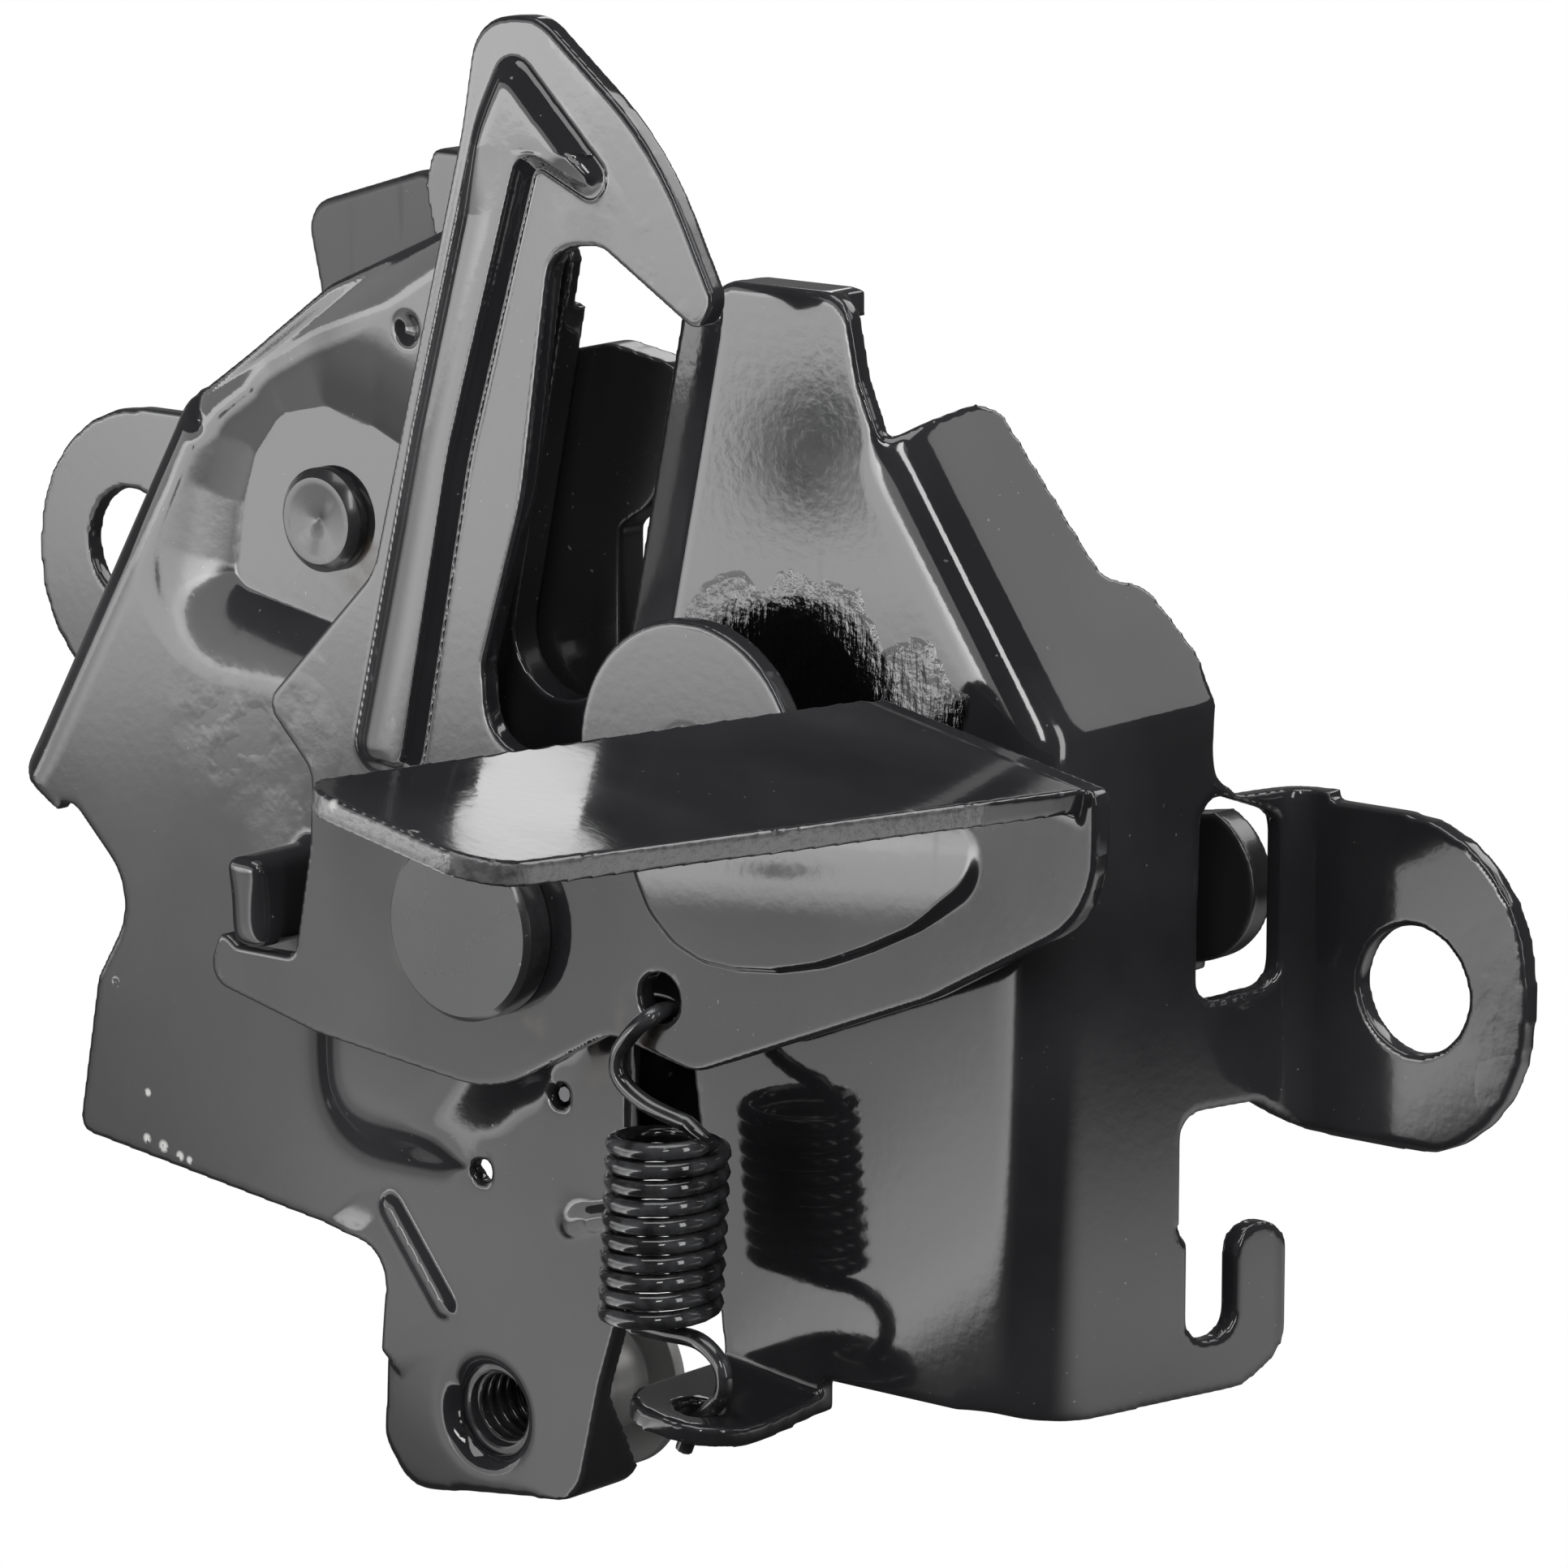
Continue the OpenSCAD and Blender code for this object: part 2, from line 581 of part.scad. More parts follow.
pawl_arm_x = 36;
pawl_end = [52.4, 5.6];
pawl_end_front = ear_back - 0.4 - pawl_t;
pawl_outline = [
    [0, -7], [10, -7.4, 3], [60, -1.6, 0], [60, 12.8, 0], [40, 9.5, 4], [22.5, 6.6, 4], [21.4, 14, 4],
    [15.8, 17.6, 2.5], [13, 14.2, 0.8], [16.6, 11.2, 1], [12.4, 6.8, 3], [0, 7]];
pawl_section = [
    [-10, pawl_front], [pawl_arm_x - 2, pawl_front, 4.5], [pawl_arm_x + 5, pawl_end_front, 1.5],
    [through, pawl_end_front], [through, pawl_end_front + pawl_t],
    [pawl_arm_x + 4, pawl_end_front + pawl_t, 4.5], [pawl_arm_x - 3, pawl_back, 1.5], [-10, pawl_back]];

module pawl() color(black) difference() {
    union() {
        pin([0, 0], pawl_front, pawl_back, 14);
        intersection() {
            translate([0, 0, -20]) linear_extrude(50) polygon(outline(pawl_section));
            sheet(0, ear_back) difference() {
                union() {
                    polygon(outline(pawl_outline));
                }
                difference() {
                    translate([pawl_end.x, -30]) square(through);
                    translate(pawl_end) circle(r = cable_end_r);
                }
            }
        }
    }
    pin([0, 0], pawl_front - 1, pawl_back + 1, pawl_bush_d + 2 * running);
}

// Sleeve between the boss and the back plate
module pawl_bush() color(steel) difference() {
    pin([0, 0], boss_inside, rear_front, pawl_bush_d);
    pin([0, 0], boss_inside - 1, rear_front + 1, stud_tenon_d + 2 * running);
}

// Pawl spring: turns inside the boss, one end in the small plate hole, the other under the arm

pawl_coil_r = pawl_bush_d / 2 + hidden_wire / 2 + wire_gap;
pawl_coil_start = boss_inside + hidden_wire / 2 + 0.3;
pawl_coil_end = pawl_front - hidden_wire / 2 - 0.4;

module pawl_spring() color(steel) {
    anchor = small_holes[1];
    turns = [for (k = [0:40]) let (a = 205 + 24.4 * k)
        [pawl_coil_r * cos(a), pawl_coil_end + (pawl_coil_start - pawl_coil_end) * k / 40, pawl_coil_r * sin(a)]];
    fixed = [[anchor.x, 0.6, anchor.y], [anchor.x, sheet_back + 0.7, anchor.y],
        [anchor.x - 0.6, sheet_back + 1.5, anchor.y + 0.9], [-5.4, pawl_coil_end, -7.4]];
    wire(concat(smooth(fixed, 4), turns), hidden_wire);
}

// Safety lever

lever_outline = [
    [-33.4, -9.8, 2.4], [-20, -12.8, 10], [1, -15, 14], [14.6, -7.6, 4], [24.4, -9.6, 5], [50, 0.6, 20],
    [67, 10, 12], [67, 20.4, 1], [43.4, 25, 0], [34, 16, 0], [12, 14, 0], [1, 16.5, 4],
    [0.5, 23, 3], [5.2, 37.8, 30], [8.6, 59.8, 4.4], [14, 60.4, 3], [25, 53.8, 1.6], [26.6, 56.8, 2],
    [20.2, 69.2, 34], [7.2, hook_rise, 4.5], [0.2, hook_rise - 0.6, 4.5], [-1.6, 69, 40], [-12.4, 29.6, 6], [-25.6, 16.4, 1.8],
    [-20, 10.8, 3], [-20.4, 4, 8], [stop_tab.x + 6.6, stop_tab.y - lever_play, 1.2],
    [stop_tab.x - 0.3, stop_tab.y - lever_play, 0.3], [stop_tab.x - 2.4, stop_tab.y + 1.2, 0.9]];
bead_outline = [
    [-15, 12, 2.4], [-7, 12, 2.4], [-0.9, 41, 40], [7, 66.8, 0.8], [13.4, 64, 1.4], [15.2, 66.2, 1.4],
    [4, hook_rise - 2.6, 2.2], [0.4, hook_rise - 9.4, 20], [-7.2, 43, 40]];
arm_emboss = [
    [17.4, 8, 4], [24.6, 0, 6], [38, 0.8, 14], [57, 10.4, 6], [56.4, 18.6, 2], [20, 14.5, 3]];

// A raised form on the lever's front, in two steps
module stepped(pts) {
    sheet(lever_front - bead_h / 2, lever_front + emboss_root) polygon(outline(pts));
    sheet(lever_front - bead_h, lever_front + emboss_root) polygon(outline(inset(pts, bead_h * 0.8)));
}

module lever_handle() {
    top = tan(handle_rise) * handle_len;
    front = lever_front - handle_len;
    translate([fold_left.x, 0, fold_left.y]) rotate([0, fold_tilt, 0]) intersection() {
        side_cut(0, fold_w) polygon(outline([[lever_back, -6], [lever_back, 0, 3.4], [front, top],
            [front, top - lever_t], [lever_front, -lever_t, 1.4], [lever_front, -6]]));
        translate([0, 0, -10]) linear_extrude(30) polygon(outline([[0, lever_back + 1], [0, lever_front - 4],
            [handle_taper, front, 4], [fold_w - handle_taper, front, 5], [fold_w, lever_front - 4],
            [fold_w, lever_back + 1]]));
    }
}

module safety_lever() color(black) union() {
    difference() {
        union() {
            sheet(lever_front, lever_back) {
                polygon(outline(lever_outline));
                translate(lobe_centre) circle(r = lobe_r);
            }
            lever_handle();
        }
        pin([0, 0], lever_front - 1, lever_back + 1, stud_d + 2 * running);
        pin(spring_hole, lever_front - 1, lever_back + 1, spring_hole_d);
        pin(lobe_centre, lever_front - 1, lever_front + 0.5, 5.4);
    }
    stepped(bead_outline);
    stepped(arm_emboss);
}

// Safety pivot: flat head, bearing under the lever, and a long tenon spun over behind the back plate
module safety_pivot() color(black) rotate([-90, 0, 0]) rotate_extrude()
    polygon([[0, lever_front - lever_play - stud_head_t], [stud_head_d / 2 - 0.5, lever_front - lever_play - stud_head_t],
        [stud_head_d / 2, lever_front - lever_play - stud_head_t + 0.5], [stud_head_d / 2, lever_front - lever_play],
        [stud_d / 2, lever_front - lever_play], [stud_d / 2, boss_front], [stud_tenon_d / 2, boss_front],
        [stud_tenon_d / 2, rear_back], [stud_tenon_d / 2 + 1.8, rear_back],
        [stud_tenon_d / 2 + 1.2, rear_back + 1.6], [0, rear_back + 1.9]]);

module safety_washer() color(steel) difference() {
    pin([0, 0], washer_front, boss_front, stud_head_d);
    pin([0, 0], washer_front - 1, boss_front + 1, stud_d + 2 * running);
}

// Safety spring: close turns with an open hook at each end
module safety_spring() color(black) {
    steps = 14;
    count = round(spring_turns * steps);
    turns = [for (k = [0:count]) let (a = -360 * k / steps, m = k / count)
        spring_top + (spring_foot - spring_top) * m + [spring_r * cos(a), spring_r * sin(a), 0]];
    top_hook = [[20, lever_back + 1.5, -6.6], [20.3, lever_back + 0.8, -5.3],
        [20.4, (lever_back + lever_front) / 2, -4.8], [20.2, lever_front - 0.9, -5.1], [19, lever_front - 1.6, -6.3],
        [17.4, lever_front - 1.8, -8.6], [17.6, lever_front - 1.8, -10.8], [20.4, lever_front - 1.6, -12.6],
        [24.6, lever_front - 1.3, -13.7]];
    foot_hook = [[20.2, spring_foot.y - 1.2, -31.8], [23.6, spring_foot.y - 0.9, -31.9], [27.4, tab_hole.y + 0.2, -32],
        [30, tab_hole.y, -33.6], [30.2, tab_hole.y, -36], [28.6, tab_hole.y, -37.9], [26.9, tab_hole.y, -39.6],
        [25.8, tab_hole.y, -41.8]];
    wire(concat(smooth(top_hook, 3), turns, smooth(foot_hook, 3)), spring_wire);
}

// Threaded bush behind the leg
module leg_bush() color(steel) difference() {
    union() {
        pin(leg_hole, sheet_back, sheet_back + bush_len, bush_d);
        pin(leg_hole, sheet_back + bush_len - 1.4, sheet_back + bush_len, bush_flange_d);
    }
    pin(leg_hole, sheet_back - 1, sheet_back + bush_len + 1, thread_core_d);
}

on_datum() base_plate();
on_datum() back_plate();
on_datum() claw();
on_datum() claw_rivet();
on_datum() claw_spring();
on_datum() pawl();
on_datum() pawl_bush();
on_datum() pawl_spring();
on_datum() safety_lever();
on_datum() safety_pivot();
on_datum() safety_washer();
on_datum() safety_spring();
on_datum() leg_bush();
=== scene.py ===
import math
import bpy
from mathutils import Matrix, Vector


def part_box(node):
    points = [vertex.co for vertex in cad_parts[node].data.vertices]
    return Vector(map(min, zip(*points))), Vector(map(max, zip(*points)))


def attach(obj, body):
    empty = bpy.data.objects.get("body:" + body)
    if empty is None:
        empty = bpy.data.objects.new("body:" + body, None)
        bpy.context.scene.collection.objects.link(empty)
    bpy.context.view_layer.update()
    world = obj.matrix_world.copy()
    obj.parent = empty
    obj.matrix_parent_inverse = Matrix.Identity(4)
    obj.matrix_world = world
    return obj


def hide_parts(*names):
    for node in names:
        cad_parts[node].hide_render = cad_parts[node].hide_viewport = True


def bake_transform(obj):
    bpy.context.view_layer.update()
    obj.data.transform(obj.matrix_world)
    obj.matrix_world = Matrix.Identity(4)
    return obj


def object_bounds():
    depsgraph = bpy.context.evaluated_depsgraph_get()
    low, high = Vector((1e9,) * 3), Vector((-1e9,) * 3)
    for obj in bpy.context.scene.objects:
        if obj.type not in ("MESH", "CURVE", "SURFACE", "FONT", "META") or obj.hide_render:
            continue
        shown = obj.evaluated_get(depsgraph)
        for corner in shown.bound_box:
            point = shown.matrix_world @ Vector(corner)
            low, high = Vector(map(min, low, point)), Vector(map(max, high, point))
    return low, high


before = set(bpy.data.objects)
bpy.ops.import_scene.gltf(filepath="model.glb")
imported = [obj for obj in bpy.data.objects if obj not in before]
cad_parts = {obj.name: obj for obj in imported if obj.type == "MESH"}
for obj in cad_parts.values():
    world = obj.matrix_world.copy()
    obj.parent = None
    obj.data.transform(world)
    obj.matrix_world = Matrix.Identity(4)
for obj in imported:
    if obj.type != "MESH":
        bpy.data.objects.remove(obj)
cad_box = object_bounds()
millimetre = 0.001

# Camera: a long lens at a little over half a metre, to the right of the latch and slightly above
# it, as a small part is photographed on a table. It looks at the middle of the striker slot's foot.
lens_mm = 177.0
sensor_mm = 36.0
camera_place = Vector((0.3627, -0.5215, 0.1474))
camera_aim = Vector((-0.0472, -0.0278, 0.0157))
nearest_seen = 0.01
camera_data = bpy.data.cameras.new("table_camera")
camera_data.lens = lens_mm
camera_data.sensor_width = sensor_mm
camera_data.clip_start = nearest_seen
camera = bpy.data.objects.new("table_camera", camera_data)
camera.location = camera_place
camera.rotation_euler = (camera_aim - camera_place).to_track_quat("-Z", "Y").to_euler()
bpy.context.scene.collection.objects.link(camera)
bpy.context.scene.camera = camera
bpy.context.scene.view_settings.view_transform = "Standard"

# Studio: a pale table under a bright tent, with a window to the front left. Table and tent are white
# to the eye, but the black coat mirrors only the window's side of the table and the panels of light.
table_half = 3.0
table_drop = 0.004
white = (1.0, 1.0, 1.0, 1.0)
mirrored_tent = 0.07
latch_middle = Vector((-0.075, -0.03, 0.01))
# Light on the table: by direction in degrees from straight in front, and by distance in metres
glow_by_turn = [(-80, 0.03), (-63, 0.45), (-48, 1.0), (-30, 1.05), (-24, 1.6), (-17, 2.0), (-11, 0.10),
                (0, 0.02)]
glow_by_way = [(0.0, 1.6), (0.12, 1.6), (0.22, 1.35), (0.34, 1.2), (0.44, 3.3), (0.50, 4.2), (0.90, 4.4)]
side_pool = Vector((0.085, 0.04, 0.0))
side_pool_radius = 0.13
side_pool_glow = 1.4
# A dim patch on the table, seen as the dark pool in the middle of the panel; its core and its rim
# are shares of its half size
dim_place = (-0.459, -0.532, 0.0)
dim_turn = math.radians(50.6)
dim_half = (0.085, 0.013, 1.0)
dim_left = 0.04
dim_core = 0.65
dim_rim = 1.2
glow_scale = 5.0
bpy.ops.object.select_all(action="DESELECT")
bpy.ops.mesh.primitive_plane_add(size=2 * table_half, location=(0, 0, cad_box[0][2] - table_drop))
table = bpy.context.object
table.name = "table"
table_paint = bpy.data.materials.new("table_paint")
table_paint.use_nodes = True
nodes = table_paint.node_tree.nodes
links = table_paint.node_tree.links
nodes.clear()
table_out = nodes.new("ShaderNodeOutputMaterial")
table_mix = nodes.new("ShaderNodeMixShader")
table_light = nodes.new("ShaderNodeLightPath")
table_seen = nodes.new("ShaderNodeEmission")
table_seen.inputs["Color"].default_value = white
table_seen.inputs["Strength"].default_value = 1.0
table_mirrored = nodes.new("ShaderNodeEmission")
table_place = nodes.new("ShaderNodeTexCoord")
table_offset = nodes.new("ShaderNodeVectorMath")
table_offset.operation = "SUBTRACT"
table_offset.inputs[1].default_value = (latch_middle.x, latch_middle.y, 0.0)
links.new(table_place.outputs["Object"], table_offset.inputs[0])
table_axes = nodes.new("ShaderNodeSeparateXYZ")
links.new(table_offset.outputs["Vector"], table_axes.inputs["Vector"])
table_front = nodes.new("ShaderNodeMath")
table_front.operation = "MULTIPLY"
table_front.inputs[1].default_value = -1.0
links.new(table_axes.outputs["Y"], table_front.inputs[0])
table_angle = nodes.new("ShaderNodeMath")
table_angle.operation = "ARCTAN2"
links.new(table_axes.outputs["X"], table_angle.inputs[0])
links.new(table_front.outputs["Value"], table_angle.inputs[1])
table_turn = nodes.new("ShaderNodeMapRange")
table_turn.inputs["From Min"].default_value = -math.pi
table_turn.inputs["From Max"].default_value = math.pi
links.new(table_angle.outputs["Value"], table_turn.inputs["Value"])
table_way = nodes.new("ShaderNodeVectorMath")
table_way.operation = "LENGTH"
links.new(table_offset.outputs["Vector"], table_way.inputs[0])


def glow_ramp(source, stops):
    """Grey ramp through the given stops."""
    ramp = nodes.new("ShaderNodeValToRGB")
    ramp.color_ramp.interpolation = "EASE"
    for place, glow in stops[1:-1]:
        ramp.color_ramp.elements.new(place).color = [glow / glow_scale] * 3 + [1.0]
    for element, (place, glow) in zip((ramp.color_ramp.elements[0], ramp.color_ramp.elements[-1]),
                                      (stops[0], stops[-1])):
        element.position = place
        element.color = [glow / glow_scale] * 3 + [1.0]
    links.new(source, ramp.inputs["Fac"])
    return ramp.outputs["Color"]


turn_stops = [((turn + 180) / 360, glow) for turn, glow in glow_by_turn]
turn_glow = glow_ramp(table_turn.outputs["Result"], turn_stops)
way_glow = glow_ramp(table_way.outputs["Value"], glow_by_way)
front_glow = nodes.new("ShaderNodeVectorMath")
front_glow.operation = "MULTIPLY"
links.new(turn_glow, front_glow.inputs[0])
links.new(way_glow, front_glow.inputs[1])
pool_way = nodes.new("ShaderNodeVectorMath")
pool_way.operation = "DISTANCE"
pool_way.inputs[1].default_value = side_pool
links.new(table_place.outputs["Object"], pool_way.inputs[0])
pool_fade = nodes.new("ShaderNodeMapRange")
pool_fade.interpolation_type = "SMOOTHSTEP"
pool_fade.inputs["From Min"].default_value = side_pool_radius
pool_fade.inputs["From Max"].default_value = 0.0
pool_fade.inputs["To Max"].default_value = side_pool_glow / glow_scale ** 2
links.new(pool_way.outputs["Value"], pool_fade.inputs["Value"])
all_glow = nodes.new("ShaderNodeVectorMath")
all_glow.operation = "ADD"
links.new(front_glow.outputs["Vector"], all_glow.inputs[0])
links.new(pool_fade.outputs["Result"], all_glow.inputs[1])
table_mirrored.inputs["Strength"].default_value = glow_scale ** 2
dim_frame = nodes.new("ShaderNodeMapping")
dim_frame.vector_type = "TEXTURE"
dim_frame.inputs["Location"].default_value = dim_place
dim_frame.inputs["Rotation"].default_value = (0.0, 0.0, dim_turn)
dim_frame.inputs["Scale"].default_value = dim_half
links.new(table_place.outputs["Object"], dim_frame.inputs["Vector"])
dim_way = nodes.new("ShaderNodeVectorMath")
dim_way.operation = "LENGTH"
links.new(dim_frame.outputs["Vector"], dim_way.inputs[0])
dim_fade = nodes.new("ShaderNodeMapRange")
dim_fade.interpolation_type = "SMOOTHSTEP"
dim_fade.inputs["From Min"].default_value = dim_core
dim_fade.inputs["From Max"].default_value = dim_rim
dim_fade.inputs["To Min"].default_value = dim_left
links.new(dim_way.outputs["Value"], dim_fade.inputs["Value"])
dimmed_glow = nodes.new("ShaderNodeVectorMath")
dimmed_glow.operation = "SCALE"
links.new(all_glow.outputs["Vector"], dimmed_glow.inputs[0])
links.new(dim_fade.outputs["Result"], dimmed_glow.inputs["Scale"])
links.new(dimmed_glow.outputs["Vector"], table_mirrored.inputs["Color"])
links.new(table_light.outputs["Is Camera Ray"], table_mix.inputs["Fac"])
links.new(table_mirrored.outputs["Emission"], table_mix.inputs[1])
links.new(table_seen.outputs["Emission"], table_mix.inputs[2])
links.new(table_mix.outputs["Shader"], table_out.inputs["Surface"])
table.data.materials.append(table_paint)

tent = bpy.data.worlds.new("tent")
bpy.context.scene.world = tent
tent.use_nodes = True
nodes = tent.node_tree.nodes
links = tent.node_tree.links
nodes.clear()
tent_out = nodes.new("ShaderNodeOutputWorld")
tent_mix = nodes.new("ShaderNodeMixShader")
tent_light = nodes.new("ShaderNodeLightPath")
tent_seen = nodes.new("ShaderNodeBackground")
tent_seen.inputs["Color"].default_value = white
tent_seen.inputs["Strength"].default_value = 1.0
tent_mirrored = nodes.new("ShaderNodeBackground")
tent_mirrored.inputs["Color"].default_value = white
tent_mirrored.inputs["Strength"].default_value = mirrored_tent
links.new(tent_light.outputs["Is Camera Ray"], tent_mix.inputs["Fac"])
links.new(tent_mirrored.outputs["Background"], tent_mix.inputs[1])
links.new(tent_seen.outputs["Background"], tent_mix.inputs[2])
links.new(tent_mix.outputs["Shader"], tent_out.inputs["Surface"])


def panel_of_light(name, azimuth, elevation, distance, width, height, radiance, aim=latch_middle):
    """A flat soft panel, placed by its direction from the latch; azimuth 0 is straight in front."""
    turn = math.radians(azimuth)
    lift = math.radians(elevation)
    way = Vector((math.sin(turn) * math.cos(lift), -math.cos(turn) * math.cos(lift), math.sin(lift)))
    data = bpy.data.lights.new(name, "AREA")
    data.shape = "RECTANGLE"
    data.size = width
    data.size_y = height
    data.energy = radiance * math.pi * width * height
    panel = bpy.data.objects.new(name, data)
    panel.location = aim + way * distance
    panel.rotation_euler = way.to_track_quat("Z", "Y").to_euler()
    bpy.context.scene.collection.objects.link(panel)
    return panel


# Panels: degrees to the right and up, then distance, width and height in metres, then radiance
panel_of_light("front_left_sheet", -42, -2, 1.1, 1.5, 0.62, 1.5)
panel_of_light("right_strip", 72, 12, 0.9, 0.16, 0.9, 5.0)
panel_of_light("top_sheet", 20, 78, 0.9, 0.8, 0.6, 3.0)
panel_of_light("back_rim", 160, 40, 1.0, 0.5, 0.4, 3.0)
panel_of_light("rear_left_sheet", -140, 14, 1.0, 0.9, 0.5, 0.07)
handle_middle = Vector((-0.02, -0.075, 0.027))
panel_of_light("handle_strip", -143, 23, 0.4, 0.030, 0.10, 1.9, handle_middle)
panel_of_light("right_high_sheet", 122, 36, 1.0, 0.45, 0.4, 1.7)
panel_of_light("bend_strip", 34, 34, 0.9, 0.13, 0.5, 9.0)

# Base plate: one pressing in mild steel sheet, drawn, pierced and folded, then dipped in a black
# coat. The coat pulls back from the cut edges and has a faint orange peel and handling marks.
coat_black = (0.020, 0.020, 0.022, 1.0)
coat_thin = (0.105, 0.106, 0.112, 1.0)
datum = Vector((0.075, 0.0278, -0.0009))
sheet_voxel = 0.3 * millimetre
sheet_rounds = 6
sheet_triangles = 180000
# Mesh work: gap of the weld, least share that is eased, pull of a smoothing round, rounds after the
# press has moved the sheet, and weight of the flat faces
weld_gap = 0.002 * millimetre
least_share = 0.01
smooth_pull = 0.5
settle_rounds = 2
flats_weight = 55


def pressed_copy(node, name, voxel, rounds, triangles, form=None, softened=()):
    """A copy of a CAD node with the swells of the press and the eased edges of a dipped coat."""
    bpy.ops.object.select_all(action="DESELECT")
    piece = bpy.data.objects.new(name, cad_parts[node].data.copy())
    bpy.context.scene.collection.objects.link(piece)
    piece.data.materials.clear()
    bpy.context.view_layer.objects.active = piece
    piece.select_set(True)
    bpy.ops.object.mode_set(mode="EDIT")
    bpy.ops.mesh.select_all(action="SELECT")
    bpy.ops.mesh.remove_doubles(threshold=weld_gap)
    bpy.ops.object.mode_set(mode="OBJECT")
    skin = piece.modifiers.new("skin", "REMESH")
    skin.mode = "VOXEL"
    skin.voxel_size = voxel
    bpy.ops.object.modifier_apply(modifier=skin.name)
    ease = piece.modifiers.new("ease", "SMOOTH")
    ease.factor = smooth_pull
    ease.iterations = rounds
    bpy.ops.object.modifier_apply(modifier=ease.name)
    for region, turns in softened:
        # Drawn forms flow into the sheet, so they are eased far more than its cut edges
        soft = piece.vertex_groups.new(name="soft")
        for vertex in piece.data.vertices:
            share = region((vertex.co + datum) / millimetre)
            if share > least_share:
                soft.add([vertex.index], share, "REPLACE")
        swell = piece.modifiers.new("swell", "SMOOTH")
        swell.factor = smooth_pull
        swell.iterations = turns
        swell.vertex_group = soft.name
        bpy.ops.object.modifier_apply(modifier=swell.name)
        piece.vertex_groups.clear()
    if form:
        shifts = [form((vertex.co + datum) / millimetre, vertex.normal)
                  for vertex in piece.data.vertices]
        for vertex, shift in zip(piece.data.vertices, shifts):
            vertex.co.y += shift * millimetre
        settle = piece.modifiers.new("settle", "SMOOTH")
        settle.factor = smooth_pull
        settle.iterations = settle_rounds
        bpy.ops.object.modifier_apply(modifier=settle.name)
    thin_out = piece.modifiers.new("thin_out", "DECIMATE")
    thin_out.ratio = min(1.0, triangles / (2 * len(piece.data.polygons)))
    bpy.ops.object.modifier_apply(modifier=thin_out.name)
    bpy.ops.object.shade_smooth()
    flats = piece.modifiers.new("true_flats", "WEIGHTED_NORMAL")
    flats.weight = flats_weight
    bpy.ops.object.modifier_apply(modifier=flats.name)
    return piece


def held(value):
    """Value held between 0 and 1."""
    return max(0.0, min(1.0, value))


def along(place, start, end, reach):
    """Share that is 1 near the line from start to end and fades to 0 at the reach, in mm."""
    start = Vector(start)
    run = Vector(end) - start
    spot = start + run * held((place - start).dot(run) / run.length_squared)
    return held(2.0 - 2.0 * (place - spot).length / reach)


def beyond(rim, x, z):
    """How far a place lies outside a rim of corners, in mm, and 0 inside; the rim turns to the left."""
    inside = True
    nearest = math.inf
    for (ax, az), (bx, bz) in zip(rim, rim[1:] + rim[:1]):
        run_x = bx - ax
        run_z = bz - az
        if (x - ax) * run_z - (z - az) * run_x > 0.0:
            inside = False
        part = held(((x - ax) * run_x + (z - az) * run_z) / (run_x * run_x + run_z * run_z))
        nearest = min(nearest, math.hypot(x - ax - part * run_x, z - az - part * run_z))
    return 0.0 if inside else nearest


# The sheet's drawn forms, in mm from the safety pivot: the dish that leads down to the rivet's pad,
# the left edges that roll back, and the kick of the leg's left edge beside the longer dart
# Places deeper or further right than these stay as they are, and steep faces count as walls
form_depth = 6.0
form_side = 4.0
facing_least = 0.2
# The pad: the corners of its core, the round about them, its depth, and the lowest place it reaches
pad_core = [(-36.0, 25.9), (-19.8, 22.9), (-16.7, 36.5), (-21.6, 38.5), (-26.9, 39.7), (-31.2, 38.7),
            (-33.7, 35.6), (-35.1, 31.5)]
pad_round = 2.0
pad_depth = 2.0
pad_foot = 5.0
sheet_t = 1.8
pad_middle = (-27.0, 31.0)
far_from_pad = 100.0
# A slight unevenness of the pad: its height, the run over which it grows, and its two waves
pad_ripple = 0.006
ripple_run = 2.5
first_wave = (1.9, 0.7)
second_wave = (-0.5, 1.6)
# The dish: its reach to the side and above, its reach below, how far out the two faces of the sheet
# follow it outright, and the run of the short wall that it takes the place of
dish_reach = 12.0
dish_reach_below = 7.5
front_follows = 3.5
rear_follows = 5.5
wall_run = 1.4
# The rolled edges: a place on the edge, the way into the sheet, the drop and its reach
rolled_edges = [((-44.4, 40.5), (0.8625, -0.506), 0.9, 5.0), ((-42.0, 40.4), (0.525, -0.851), 0.7, 4.0)]
roll_foot = 2.0
roll_fade = 4.0
# The kick: where its fold starts, the way along the fold, the rise for each mm away from it
kick_start = (-18.0, -30.0)
kick_way = (0.625, -0.781)
kick_rise = 0.11
kick_width = 9.0
kick_length = 13.0
kick_fade = 3.0


